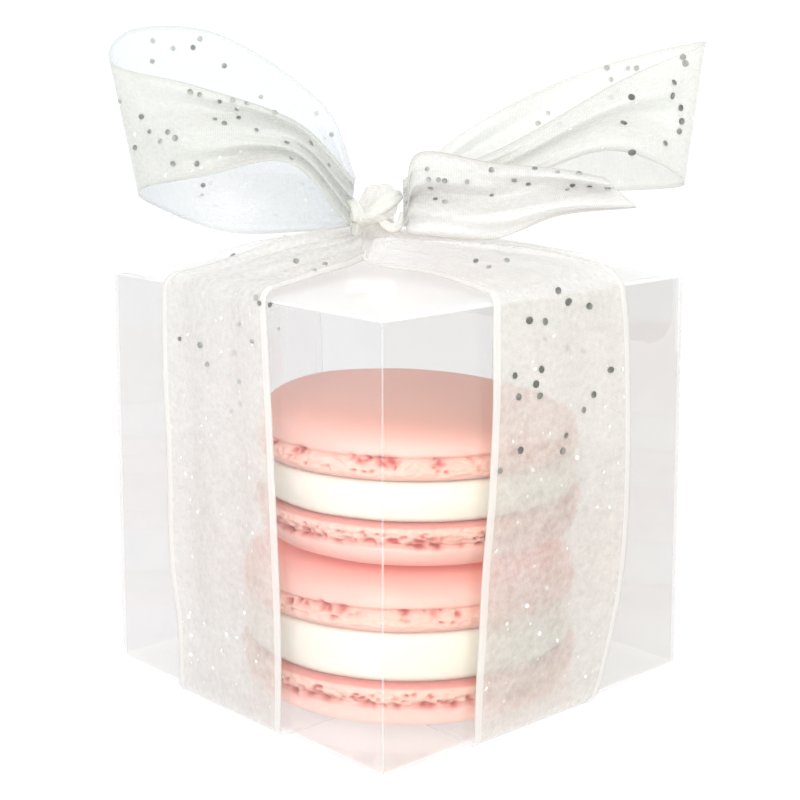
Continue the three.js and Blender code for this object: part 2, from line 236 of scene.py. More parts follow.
def selvedgeNode(tree, across, inner):
    # 1 on the cut's two long edges, further from its middle than inner
    fromMiddle = mathNode(tree, "ABSOLUTE", mathNode(tree, "SUBTRACT", across, 0.5))
    return mathNode(tree, "GREATER_THAN", fromMiddle, inner)


print("stage: shader groups")

# Woven gauze: fine crossed threads with a mottle, two glossy selvedges and tiny sparkles.
# Place is the cut's own UV, one unit to the ribbon's width both ways
gauze = {
    "threadCover": 0.16, "cloudScale": 6.0, "grainScale": 27.0, "speckScale": 15.0, "speckSize": 0.17,
    "specksFrom": 0.62, "clothRoughness": 0.62, "edgeRoughness": 0.3, "threadRelief": 0.1, "grainRelief": 0.2,
}
weave, given, made = newGroup(
    "gauzeWeave",
    {
        "Threads": 118.0, "Edge Share": 0.055, "Cloth Cover": 0.3, "Edge Cover": 0.9, "Mottle": 0.1,
        "Sparkle Cover": 0.8, "Cloth Colour": (0.8, 0.8, 0.8, 1), "Edge Colour": (0.9, 0.9, 0.9, 1),
    },
    ["Colour", "Cover", "Roughness", "Height"],
)
share, along, _ = axesNode(weave, given["Place"])
edge = selvedgeNode(weave, share, mathNode(weave, "SUBTRACT", 0.5, given["Edge Share"]))
turns = mathNode(weave, "MULTIPLY", given["Threads"], 2 * math.pi)
warp, weft = (mathNode(weave, "SINE", mathNode(weave, "MULTIPLY", axis, turns)) for axis in (share, along))
crossed = mathNode(weave, "MAXIMUM", warp, weft)
threads = mathNode(weave, "MULTIPLY", crossed, gauze["threadCover"])
cloud = noiseNode(weave, given["Place"], gauze["cloudScale"], 4.0, 0.65)
grain = noiseNode(weave, given["Place"], gauze["grainScale"], 2.0, 0.6)
mottle = mathNode(weave, "SUBTRACT", mathNode(weave, "ADD", cloud, grain), 1.0)
mottle = mathNode(weave, "MULTIPLY", mottle, given["Mottle"])
body = mathNode(weave, "ADD", mathNode(weave, "ADD", given["Cloth Cover"], threads), mottle)
cellInputs = {"Scale": gauze["speckScale"], "Vector": given["Place"]}
cells = addNode(weave, "ShaderNodeTexVoronoi", cellInputs, feature="F1").outputs
cellPick = addNode(weave, "ShaderNodeSeparateColor", {0: cells["Color"]}).outputs[0]
picked = mathNode(weave, "GREATER_THAN", cellPick, gauze["specksFrom"])
speck = mathNode(weave, "MULTIPLY", rampNode(weave, cells["Distance"], gauze["speckSize"], 0.1), picked)
cover = mathNode(weave, "MAXIMUM", body, mathNode(weave, "MULTIPLY", speck, given["Sparkle Cover"]))
cover = rampNode(weave, edge, 0.0, 1.0, cover, given["Edge Cover"])
edgeOrSpeck = mathNode(weave, "MAXIMUM", edge, speck)
threadHeight = mathNode(weave, "MULTIPLY", crossed, gauze["threadRelief"])
grainHeight = mathNode(weave, "MULTIPLY", grain, gauze["grainRelief"])
feed(made, {
    "Colour": mixColour(weave, edgeOrSpeck, given["Cloth Colour"], given["Edge Colour"]),
    "Cover": addNode(weave, "ShaderNodeClamp", {"Value": cover}).outputs[0],
    "Roughness": rampNode(weave, edgeOrSpeck, 0.0, 1.0, gauze["clothRoughness"], gauze["edgeRoughness"]),
    "Height": mathNode(weave, "ADD", threadHeight, grainHeight),
})

# Baked crumb: a mottle of colour and fine pores, on Object coordinates
crumb, given, made = newGroup(
    "bakedCrumb",
    {
        "Light Colour": (0.9, 0.6, 0.5, 1), "Deep Colour": (0.8, 0.3, 0.2, 1), "Blotch Size": 160.0,
        "Pore Size": 1500.0, "Blotch": 0.2,
    },
    ["Colour", "Height"],
)
blotch = rampNode(crumb, noiseNode(crumb, given["Place"], given["Blotch Size"], 3.0), 0.35, 0.7)
blotch = mathNode(crumb, "MULTIPLY", blotch, given["Blotch"])
feed(made, {
    "Colour": mixColour(crumb, blotch, given["Light Colour"], given["Deep Colour"]),
    "Height": noiseNode(crumb, given["Place"], given["Pore Size"], 3.0, 0.65),
})

print("stage: materials")

# The ribbon's looks, lit and shaded copies of one cloth, each painted for the light that falls on its piece:
# how much its threads cover, how uneven they are, the selvedge's share of the width and its cover, the
# sparkles' cover, the share of light let through, and the colours of cloth, back light
# and edge
lookKeys = ("cover", "mottle", "edgeShare", "edgeCover", "sparkle", "through", "colour", "behind", "edge")
ribbonLooks = {
    "wrap": (
        0.40, 0.36, 0.046, 0.72, 0.7, 0.42, (0.86, 0.86, 0.835), (0.87, 0.86, 0.835), (0.97, 0.97, 0.95)),
    # painted light: the far side and the part under the base are a paler, thinner copy
    "far_wrap": (
        0.25, 0.20, 0.046, 0.40, 0.7, 0.85, (0.95, 0.95, 0.94), (0.98, 0.975, 0.975), (0.96, 0.96, 0.95)),
    # painted light: the right arm over the lid is a paler, thinner copy
    "right_arm": (
        0.20, 0.22, 0.046, 0.72, 0.7, 0.55, (0.99, 0.99, 0.965), (0.99, 0.99, 0.965), (0.98, 0.98, 0.96)),
    # painted shade: the right band down the wall is a darker copy
    "right_band_shaded": (
        0.40, 0.36, 0.046, 0.72, 0.7, 0.42, (0.865, 0.858, 0.815), (0.885, 0.866, 0.825), (0.97, 0.97, 0.95)),
    "loop": (
        0.50, 0.30, 0.030, 0.68, 0.6, 0.42, (0.875, 0.87, 0.825), (0.86, 0.885, 0.88), (0.82, 0.81, 0.76)),
    # painted reflection: the left loop's back layer is a paler, bluish copy
    "left_loop_back_lit": (
        0.48, 0.30, 0.022, 0.62, 0.6, 0.50, (0.835, 0.87, 0.89), (0.83, 0.87, 0.895), (0.76, 0.77, 0.77)),
    # painted shade: the left loop's front layer is a darker copy
    "left_loop_front_shaded": (
        0.56, 0.36, 0.030, 0.75, 0.6, 0.42, (0.80, 0.80, 0.76), (0.81, 0.82, 0.785), (0.76, 0.76, 0.72)),
    "right_tail": (
        0.50, 0.30, 0.030, 0.70, 0.6, 0.35, (0.875, 0.875, 0.855), (0.885, 0.88, 0.865), (0.80, 0.77, 0.72)),
    # painted light: the left tail is a paler, thinner copy
    "left_tail_lit": (
        0.22, 0.20, 0.030, 0.30, 0.5, 0.60, (0.97, 0.97, 0.97), (0.97, 0.97, 0.98), (0.95, 0.95, 0.95)),
    "knot": (
        0.80, 0.30, 0.050, 0.95, 0.9, 0.20, (0.87, 0.88, 0.835), (0.90, 0.90, 0.87), (0.95, 0.95, 0.93)),
    # painted light: the knot's turn is a paler copy that lets more light through
    "knot_turn": (
        0.42, 0.30, 0.050, 0.60, 0.8, 0.65, (0.96, 0.95, 0.91), (0.97, 0.96, 0.93), (0.96, 0.95, 0.92)),
}
clothFinish = {
    "sheen": 0.15, "sheenRoughness": 0.4, "bump": 0.00008, "lessCover": 0.025, "softCover": 0.045,
    "mottleMost": 0.6,
}


def ribbonMaterial(name, look):
    # the woven threads send light back, and the gaps between them show what is behind
    material, tree, shader = newMaterial(name, {
        "Base Color": (0.85, 0.85, 0.83), "IOR": 1.45, "Sheen Weight": clothFinish["sheen"],
        "Sheen Roughness": clothFinish["sheenRoughness"],
    })
    place = addNode(tree, "ShaderNodeUVMap", uv_map="cut").outputs["UV"]
    out = placeGroup(tree, weave, place, {
        "Cloth Colour": look["colour"], "Edge Colour": look["edge"], "Edge Share": look["edgeShare"],
        "Cloth Cover": look["cover"] - clothFinish["lessCover"], "Edge Cover": look["edgeCover"],
        "Mottle": min(clothFinish["mottleMost"], look["mottle"] / (1 - look["through"])),
        "Sparkle Cover": look["sparkle"],
    })
    # painted light: the cloth's cover is cut down where the mark says
    thinned = mathNode(tree, "SUBTRACT", 1.0, markNode(tree, "paintedLightThin"))
    feed(shader, {
        "Base Color": out["Colour"], "Roughness": out["Roughness"],
        "Alpha": mathNode(tree, "MULTIPLY", out["Cover"], thinned),
    })
    addBump(tree, shader, out["Height"], clothFinish["bump"], 0.6)
    # a share of the light goes softly through the cloth, evenly but for the denser selvedges
    onEdge = selvedgeNode(tree, axesNode(tree, place)["X"], 0.5 - look["edgeShare"])
    softCover = rampNode(tree, onEdge, 0.0, 1.0, look["cover"] + clothFinish["softCover"], look["edgeCover"])
    softPart = mixShaders(
        tree, mathNode(tree, "MULTIPLY", softCover, thinned), plainShader(tree, "Transparent", (1, 1, 1)),
        plainShader(tree, "Translucent", look["behind"]),
    )
    showSurface(tree, mixShaders(tree, look["through"], shader.outputs[0], softPart))
    return material


ribbonCloth = {}
for name, values in ribbonLooks.items():
    ribbonCloth[name] = ribbonMaterial("sheer_ribbon_" + name, dict(zip(lookKeys, values)))

# the crevice colour is painted shade: dark red in the foot's pits and seam, and a shadow line at the flat rim
shellLook = {
    "light": (0.920, 0.530, 0.460), "deep": (0.880, 0.420, 0.345), "foot": (0.925, 0.560, 0.450),
    # the crown colour is painted shade: the dome is darker towards its top
    "crevice": (0.58, 0.065, 0.045), "crown": (0.645, 0.305, 0.242), "wedgeShadeSkin": (0.86, 0.40, 0.34),
    # painted light: the wedge and pressed colours and the glow are an emission, and the wedge skin above is a
    # painted deeper red between the stacked domes
    "wedge": (0.55, 0.10, 0.06), "pressed": (0.88, 0.78, 0.70), "paintedGlow": 0.22,
}
shellSkin, tree, shader = newMaterial("macaron_shell_baked", {
    "Base Color": shellLook["light"], "Roughness": 0.5, "Specular IOR Level": 0.32, "Subsurface Weight": 0.25,
    "Subsurface Radius": (0.0016, 0.0006, 0.0004), "Subsurface Scale": 1.0,
    "Emission Strength": shellLook["paintedGlow"],
})
out = placeGroup(tree, crumb, objectPlace(tree), {
    "Light Colour": shellLook["light"], "Deep Colour": shellLook["deep"], "Blotch": 0.35,
})
footMark, creviceShadeMark, crownShadeMark, wedgeGlowMark, pressedGlowMark = (
    markNode(tree, key) for key in ("foot", "crevice", "crown", "wedge", "pressed"))
# painted shade: the dome is darker towards its top
skin = mixColour(tree, crownShadeMark, out["Colour"], shellLook["crown"])
# painted shade: the skin is a deeper red between the stacked domes
skin = mixColour(tree, mathNode(tree, "MULTIPLY", wedgeGlowMark, 0.8), skin, shellLook["wedgeShadeSkin"])
skin = mixColour(tree, mathNode(tree, "MULTIPLY", footMark, 0.6), skin, shellLook["foot"])
# painted light: an emission makes the shells glow deep red between the two stacked domes, and paler on the
# dome that is pressed on the base, standing in for light that soaks through the crumb
wedgeGlowColour = mixColour(tree, wedgeGlowMark, (0.0, 0.0, 0.0), shellLook["wedge"])
feed(shader, {
    # painted shade: dark red in the foot's pits and seam and at the flat rim
    "Base Color": mixColour(tree, creviceShadeMark, skin, shellLook["crevice"]),
    "Roughness": rampNode(tree, footMark, 0.0, 1.0, 0.46, 0.68),
    "Emission Color": mixColour(tree, pressedGlowMark, wedgeGlowColour, shellLook["pressed"]),
})
addBump(tree, shader, out["Height"], 0.00006, 0.5)

cream, tree, shader = newMaterial("cream_filling_smooth", {
    "Base Color": (0.88, 0.845, 0.755), "Roughness": 0.42, "Subsurface Weight": 0.3,
    "Subsurface Radius": (0.0012, 0.001, 0.0007), "Subsurface Scale": 1.0,
})
out = placeGroup(tree, crumb, objectPlace(tree), {
    "Light Colour": (0.865, 0.825, 0.72), "Deep Colour": (0.84, 0.755, 0.64), "Blotch": 0.4,
    "Pore Size": 700.0,
})
feed(shader, {"Base Color": out["Colour"]})
addBump(tree, shader, out["Height"], 0.00005, 0.4)

# Clear plastic sheet: light goes straight through its thin walls, and its gloss is a coat of its own.
# The places of its walls are in metres
plasticLook = {
    "tint": (0.878, 0.873, 0.875), "rightShadeTint": (0.830, 0.824, 0.803), "lidSheenTint": (0.975, 0.985, 0.985),
    "baseTint": (0.94, 0.93, 0.925), "hazeTint": (0.836, 0.834, 0.845), "flapTint": (0.985, 0.985, 0.985),
    "shadow": (0.92, 0.92, 0.92), "milk": (0.878, 0.905, 0.900), "wallMilk": 0.02, "lidSheenMilk": 0.42,
    "lidCoat": 0.48, "rightWall": 0.0250, "lid": 0.0514, "base": 0.0012, "flapFront": 0.0246,
    "flapBack": 0.02505, "flapFoot": 0.042,
}
clearPlastic, tree, shader = newMaterial("clear_plastic_sheet", {
    "Base Color": plasticLook["tint"], "Roughness": 0.0, "IOR": 1.01, "Transmission Weight": 1.0,
    "Coat Weight": 1.0, "Coat Roughness": 0.04, "Coat IOR": 1.5,
})
place = objectPlace(tree)
toRight, toBack, upwards = axesNode(tree, place)
haze = rampNode(tree, noiseNode(tree, place, 90.0, 4.0, 0.6), 0.4, 0.75)
# the lid's lighter tint and milky layer are a painted sheen for its look at a low angle
onLid = mathNode(tree, "GREATER_THAN", upwards, plasticLook["lid"])
# the lid's tuck flap lies close against the back wall and hardly shows
onFlap = mathNode(tree, "GREATER_THAN", toBack, plasticLook["flapFront"])
onFlap = mathNode(tree, "MULTIPLY", onFlap, mathNode(tree, "LESS_THAN", toBack, plasticLook["flapBack"]))
onFlap = mathNode(tree, "MULTIPLY", onFlap, mathNode(tree, "GREATER_THAN", upwards, plasticLook["flapFoot"]))
tint = plasticLook["tint"]
# painted shade: the right wall is tinted darker than the others
for where, key in (
    (mathNode(tree, "GREATER_THAN", toRight, plasticLook["rightWall"]), "rightShadeTint"),
    (mathNode(tree, "MULTIPLY", haze, 0.5), "hazeTint"), (onLid, "lidSheenTint"),
    (mathNode(tree, "LESS_THAN", upwards, plasticLook["base"]), "baseTint"), (onFlap, "flapTint"),
):
    tint = mixColour(tree, where, tint, plasticLook[key])
coat = rampNode(tree, onLid, 0.0, 1.0, 1.0, plasticLook["lidCoat"])
feed(shader, {"Base Color": tint, "Coat Weight": coat})
addBump(tree, shader, noiseNode(tree, place, 55.0, 1.0), 0.0005, 0.15)
# painted sheen: the lid gets a milky layer and a lighter tint for its look at a low angle; the walls only a
# faint haze
milk = [plainShader(tree, kind, plasticLook["milk"]) for kind in ("Diffuse", "Translucent")]
milkShare = rampNode(tree, onLid, 0.0, 1.0, plasticLook["wallMilk"], plasticLook["lidSheenMilk"])
sheet = mixShaders(tree, milkShare, shader.outputs[0], mixShaders(tree, 0.5, *milk))
shadowRay = addNode(tree, "ShaderNodeLightPath").outputs["Is Shadow Ray"]
showSurface(tree, mixShaders(tree, shadowRay, sheet, plainShader(tree, "Transparent", plasticLook["shadow"])))

print("stage: clear box")

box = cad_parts["clear_box"]
box.data.materials.clear()
box.data.materials.append(clearPlastic)

# Sizes in millimetres, the same as the part's
boxSize = {"side": 50.8, "height": 51.2, "sheet": 0.3, "floor": 0.65}
boxTop = boxSize["floor"] + boxSize["height"]
boxHalf = boxSize["side"] / 2

# The bow lies across the box's diagonal: the directions along it and ahead of it
bowTurn = math.radians(47.4)
across = np.array([math.cos(bowTurn), math.sin(bowTurn), 0])
ahead = np.array([math.sin(bowTurn), -math.cos(bowTurn), 0])

# Folds: the sheet swells and whitens a little where it is scored and folded
crease = {
    "radius": 0.13, "uneven": 0.15, "sides": 8, "steps": 46, "inset": 0.05, "short": 0.3,
    "colour": (0.93, 0.935, 0.945), "dull": (0.84, 0.84, 0.85), "bright": (0.97, 0.97, 0.97),
    "clear": (0.97, 0.965, 0.965), "coverLow": 0.12, "coverHigh": 0.24,
}
creasedPlastic, tree, shader = newMaterial("creased_plastic", {
    "Base Color": crease["colour"], "Roughness": 0.3,
})
stress = noiseNode(tree, objectPlace(tree), 260.0, 3.0, 0.7)
stress = rampNode(tree, stress, 0.35, 0.7, crease["coverLow"], crease["coverHigh"])
feed(shader, {"Base Color": mixColour(tree, stress, crease["dull"], crease["bright"])})
clearPart = plainShader(tree, "Transparent", crease["clear"])
showSurface(tree, mixShaders(tree, stress, clearPart, shader.outputs[0]))


def creaseBead(start, end, seed):
    # points of one bead along a fold, thinner towards its ends
    at = np.linspace(0, 1, crease["steps"])
    centre = start + (end - start) * at[:, None]
    uneven = wander(at * 30, 0 * at, 0 * at, 1.6, seed)
    taper = smoothStep(0, 0.02, at) * (1 - smoothStep(0.98, 1, at))
    ring = crease["radius"] * (1 + crease["uneven"] * uneven) * (0.4 + 0.6 * taper)
    around = np.linspace(0, 2 * np.pi, crease["sides"], endpoint=False)
    return tubePoints(centre, ring[:, None], around, [0.3, 0.5, 0.81])


edgeAt = boxHalf - crease["inset"]
foldPoints = []
foldFaces = []
for i, (x, y) in enumerate([(-edgeAt, -edgeAt), (edgeAt, -edgeAt), (edgeAt, edgeAt)]):
    start = np.array([x, y, boxSize["floor"] + crease["short"]])
    first = i * (crease["steps"] * crease["sides"] + 2)
    foldPoints.append(creaseBead(start, np.array([x, y, boxTop - crease["short"]]), i))
    foldFaces += [[first + corner for corner in face] for face in tubeFaces(crease["steps"], crease["sides"])]
creasePiece = meshPiece("box_fold_creases", np.vstack(foldPoints), foldFaces, creasedPlastic)
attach(creasePiece, "root")

print("stage: macarons")

shell = {
    "segments": 520, "footRings": 26, "domeRings": 46, "footHeight": 2.5, "boxiness": 0.27,
    "flatBoxiness": 0.08,
    "flat": [[0.3, 0.0], [0.6, 0.0], [0.8, 0.0], [0.9, 0.0], [0.955, 0.03], [0.978, 0.12]],
    "foot": [[0.35, 0.985], [1.0, 1.0], [1.7, 0.995], [2.3, 0.978], [2.55, 0.962], [2.85, 0.978]],
    "ruffleSize": 1.15, "ruffleDepth": 0.44, "grainSize": 0.42, "grainDepth": 0.14, "swell": 0.09,
    "pits": 240, "turnedPits": 350, "pitDepth": 0.8, "clusterSize": 4.2, "seamDepth": 0.2, "smallPits": 0.62,
    "smallPit": {"wide": (0.22, 0.45), "tall": (0.18, 0.32), "up": (1.0, 2.6)},
    "pit": {"wide": (0.4, 1.05), "tall": (0.3, 0.6), "up": (1.9, 2.65)},
    "turnedPit": {"wide": (0.4, 1.05), "tall": (0.3, 0.6), "up": (1.7, 2.65)},
}
macarons = [
    {
        "name": "lower", "x": 3.4, "y": -1.0, "radius": 21.2, "bottom": 5.5, "filling": 6.1, "top": 6.3,
        "seed": 11,
    },
    {
        "name": "upper", "x": 4.1, "y": -0.2, "radius": 20.4, "bottom": 6.3, "filling": 4.9, "top": 6.6,
        "seed": 47,
    },
]


def shellPits(angle, level, radius, draw, turned):
    # how deep each point lies in the foot's small pits, from 0 to 1
    deep = np.zeros_like(angle)
    for _ in range(shell["turnedPits"] if turned else shell["pits"]):
        middle = draw.uniform(0, 2 * np.pi)
        small = draw.random() < shell["smallPits"]
        pit = shell["smallPit"] if small else shell["turnedPit"] if turned else shell["pit"]
        wide, tall, up = (draw.uniform(*pit[key]) for key in ("wide", "tall", "up"))
        lean = draw.uniform(-0.35, 0.35)
        reach = ((angle - middle + np.pi) % (2 * np.pi) - np.pi) * radius
        near = (reach / wide) ** 2 + ((level - up - lean * reach) / tall) ** 2
        deep = np.maximum(deep, np.exp(-near * 1.2) * draw.uniform(0.6, 1.0))
    return deep


def shellPoints(radius, height, seed, turned, inner):
    # points and marks of one shell, its flat side at 0 and its dome up. Turned if it is turned over later,
    # inner if its dome meets another's: a turned one that isn't inner is pressed flat on the base
    roundly = inner or not turned
    domeStart = shell["footHeight"] + 0.35
    footLevels = np.linspace(0.35, domeStart, shell["footRings"])
    rings = shell["flat"] + list(zip(follow(shell["foot"], footLevels), footLevels))
    for turn in np.radians(np.linspace(3, 89.2, shell["domeRings"])):
        share = 0.985 * math.cos(turn) ** (shell["boxiness"] if roundly else shell["flatBoxiness"])
        rings.append((share, domeStart + (height - domeStart) * math.sin(turn)))
    angle, share, level = ringGrid(rings, shell["segments"])
    radii = radius * share * (1 + 0.004 * np.sin(2 * angle + seed))
    x = radii * np.cos(angle)
    y = radii * np.sin(angle)
    rim = share > 0.93
    foot = smoothStep(0.2, 0.7, level) * (1 - smoothStep(2.35, 2.95, level)) * rim
    ruffle = wander(x, y, level * 1.5, shell["ruffleSize"], seed)
    grain = wander(x, y, level, shell["grainSize"], seed + 1)
    sunk = foot * (shell["ruffleDepth"] * (np.abs(ruffle) * 1.5 - 0.35) + shell["grainDepth"] * grain)
    crevice = shellPits(angle, level, radius, random.Random(seed), turned)
    ragged = wander(x, y, level, 0.7, seed + 2)
    # the pits stand in clusters, with smooth stretches between them, fewer on the shell that rises from
    # its foot
    rimX = radius * np.cos(angle)
    rimY = radius * np.sin(angle)
    cluster = wander(rimX, rimY, 0 * angle, shell["clusterSize"], seed + 6)
    cluster = smoothStep(-0.6, -0.25, cluster) if turned else smoothStep(-0.15, 0.15, cluster)
    crevice = np.clip(crevice * (1 + 0.5 * ragged), 0, 1) * rim * (0.12 + 0.88 * cluster)
    seam = np.exp(-((level - 2.6) / 0.22) ** 2) * rim
    seam *= smoothStep(-0.25, 0.35, wander(x, y, level * 0, 3.2, seed + 3))
    sunk = sunk + shell["pitDepth"] * crevice + shell["seamDepth"] * seam
    dome = smoothStep(domeStart, domeStart + 1.2, level)
    lift = shell["swell"] * wander(x, y, level, 7.5, seed + 4) * dome * smoothStep(0.2, 0.9, share)
    radii = np.maximum(radii - sunk + lift, 0.02)
    x = radii * np.cos(angle)
    y = radii * np.sin(angle)
    z = level + 0.06 * wander(x, y, level * 0, 9.0, seed + 5) * dome
    # painted shade: the flat side's rim is painted red where it meets the cream, as a shadow line, and the
    # crown is painted darker, as shade on the top of the dome
    flatRimShade = (1 - smoothStep(0.25, 0.6, level)) * smoothStep(0.86, 0.93, share)
    rimShadeShare = 0.6 if turned else 0.25
    none = 0 * level
    marks = {
        # painted shade: dark red where shade falls in the foot's pits and seam, and at the flat rim
        "foot": foot, "crevice": np.clip(1.5 * crevice ** 1.5 + 0.12 * seam + rimShadeShare * flatRimShade, 0, 1),
        # painted shade: darker towards the top of the dome
        "crown": none if inner or not roundly else smoothStep(0.45, 1.0, level / height),
        # painted glow: between the stacked domes, and on the dome pressed on the base
        "wedge": smoothStep(0.6, 1.0, level / height) if inner else none,
        "pressed": none if roundly else smoothStep(domeStart, domeStart + 1.4, level),
    }
    return np.stack([x, y, z], axis=2), marks


def closedRings(name, points, marks, material):
    # rings round the z axis, closed by a point under the first and one over the last
    rings, count = points.shape[:2]
    every = np.vstack([points.reshape(-1, 3), points[0].mean(0), points[-1].mean(0)])
    kept = {}
    for key, value in marks.items():
        kept[key] = np.append(value.ravel(), [value[0].mean(), value[-1].mean()])
    return meshPiece(name, every, tubeFaces(rings, count, True), material, None, kept)


def fillingPoints(radius, height, seed):
    side = [[0, 0.93], [0.08, 0.958], [0.2, 0.972], [0.5, 0.982], [0.8, 0.972], [0.92, 0.958], [1, 0.93]]
    flat = [0.3, 0.6, 0.8, 0.88]
    levels = np.linspace(0, 1, 26)
    rings = [(share, 0) for share in flat] + list(zip(follow(side, levels), levels))
    rings += [(share, 1) for share in flat[::-1]]
    angle, share, level = ringGrid(rings, 300)
    x = radius * share * np.cos(angle)
    y = radius * share * np.sin(angle)
    uneven = 0.22 * wander(x, y, level * height * 0.7, 6.0, seed)
    uneven += 0.06 * wander(x, y, level * height, 1.3, seed + 1)
    radii = radius * share + uneven * smoothStep(0.88, 0.95, share)
    return np.stack([radii * np.cos(angle), radii * np.sin(angle), height * level], axis=2)


def placedAt(points, food, floor, turn, flipped=False, height=0.0):
    # points in their place in the box, turned round and, if flipped, turned over
    c = math.cos(turn)
    s = math.sin(turn)
    px, py, pz = points[..., 0], points[..., 1], points[..., 2]
    if flipped:
        py = -py
        pz = height - pz
    return np.stack([c * px - s * py + food["x"], s * px + c * py + food["y"], pz + floor], axis=-1)


foodPieces = []
askew = {"lean": 1.3, "fall": 0.8}
layerGap = 0.1
floorAt = boxSize["floor"] + boxSize["sheet"] + layerGap
for food in macarons:
    label = "macaron_" + food["name"]
    for level in ("bottom", "filling", "top"):
        height = food[level]
        if level == "filling":
            points = placedAt(fillingPoints(food["radius"], height, food["seed"]), food, floorAt, 0)
            piece = closedRings(label + "_cream", points, {}, cream)
            node = label + "_filling"
        else:
            radius = food["radius"] * (0.99 if level == "top" else 1)
            turned = level == "bottom"
            inner = (food["name"] == "lower") != turned
            points, marks = shellPoints(radius, height, food["seed"] + (0 if turned else 2), turned, inner)
            points = placedAt(points, food, floorAt, 0.4 * food["seed"], turned, height)
            if food["name"] == "upper" and level == "top":
                # the uppermost dome is baked a little askew and falls away to the right
                right = (points[..., 0] - food["x"]) * across[0] + (points[..., 1] - food["y"]) * across[1]
                right = right / radius
                crown = np.clip((points[..., 2] - floorAt - 3) / (height - 3), 0, 1)
                points[..., 2] -= crown * (askew["lean"] * right + askew["fall"] * np.maximum(right, 0) ** 2)
            piece = closedRings(label + "_" + level + "_baked", points, marks, shellSkin)
            node = label + "_" + level + "_shell"
        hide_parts(node)
        foodPieces.append(piece)
        floorAt += height + layerGap

print("stage: ribbon shapes")

cloth = {"width": 25.0, "thickness": 0.14, "selvedge": 1.3, "selvedgeRise": 0.07}
knot = {"across": -2.4, "rise": 8.1}
knotMiddle = across * knot["across"] + np.array([0, 0, boxTop + knot["rise"]])

# The wrap's four arms: the places of the two edges as [along the arm, sideways], along the arm being
# 0 at the gather, 0.45 at the lid's edge, 1 at the base's edge and 1.3 at its middle
arms = {
    "front": {
        "low": [[0, -6.2], [0.25, -9.2], [0.45, -12.9], [0.6, -13.9], [0.68, -13.4], [0.82, -13.2],
                [0.89, -11.9], [1, -11.6], [1.3, -9]],
        "high": [[0, -1.4], [0.12, 1.4], [0.25, 4.0], [0.45, 6.5], [0.6, 7.1], [0.73, 7.8], [0.85, 8.4],
                 [1, 8.2], [1.3, 8]],
        "raise": [[-0.1, 0.8], [0, 1.5], [0.15, 2.0], [0.25, 1.4], [0.34, 0.6], [0.42, 0.05], [0.5, 0],
                  [1.3, 0]],
        "raised": -1, "folds": 0.9,
    },
    "right": {
        "low": [[0, -6.8], [0.1, -5.9], [0.2, -5.6], [0.3, -6.6], [0.47, -9.4], [0.6, -9.3], [0.7, -9.9],
                [0.8, -11], [1, -11.7], [1.3, -9]],
        "high": [[0, 0.9], [0.25, 8.2], [0.45, 12.0], [0.53, 14], [0.65, 15], [0.77, 14.9], [0.86, 13.6],
                 [0.95, 10.6], [1, 8], [1.3, 8]],
        "raise": [[-0.1, 0.8], [0, 1.6], [0.15, 2.2], [0.25, 2.4], [0.34, 2.1], [0.42, 1.2], [0.5, 0.3],
                  [0.56, 0], [1.3, 0]],
        "raised": 1, "folds": 0.4,
    },
    "back": {
        "low": [[0, -4], [0.25, -5.6], [0.45, -7.5], [0.6, -8.4], [0.85, -8.6], [1, -8.4], [1.3, -8]],
        "high": [[0, 1], [0.25, 6.6], [0.45, 10.3], [0.6, 13.6], [0.85, 12.4], [1, 9.6], [1.3, 8]],
        "raise": [[-0.1, 0.6], [0, 1.0], [0.15, 1.5], [0.3, 1.0], [0.42, 0.05], [0.5, 0], [1.3, 0]],
        "raised": 0,
    },
    "left": {
        "low": [[0, -4.2], [0.25, -6.4], [0.45, -8.6], [0.6, -12.2], [0.85, -12.4], [1, -9.8], [1.3, -8]],
        "high": [[0, 0.9], [0.25, 5.6], [0.45, 8.4], [0.6, 9.6], [0.85, 9.8], [1, 9.2], [1.3, 8]],
        "raise": [[-0.1, 0.6], [0, 1.0], [0.15, 1.6], [0.3, 1.3], [0.42, 0.05], [0.5, 0], [1.3, 0]],
        "raised": 0,
    },
}
wrap = {
    "lidEdge": 0.45, "baseEdge": 1.0, "baseMiddle": 1.3, "start": -0.07, "lidTurn": 0.04, "baseTurn": 0.03,
    "lidBend": 1.6, "lidStandOff": 0.8, "wallStandOff": 0.45, "footOut": 0.2, "baseBend": 0.95,
    "underBase": 0.2, "gatherOut": 1.92, "gatherWidth": 0.55, "pleats": 4.5,
    "rise": [[-0.17, 4.7], [-0.08, 3.9], [0, 2.55], [0.12, 1.9], [0.3, 1.2], [0.7, 0.35], [1, 0]],
    "nearSag": [[-0.1, 1.5], [0, 1.5], [0.08, 1.0], [0.16, 0.4], [0.26, 0], [1.3, 0]],
    "foldDepth": [[-0.1, 1.0], [0, 1.25], [0.12, 1.15], [0.28, 0.8], [0.45, 0.42], [0.6, 0.42], [0.85, 0.45],
                  [0.97, 0.1], [1.3, 0]],
}


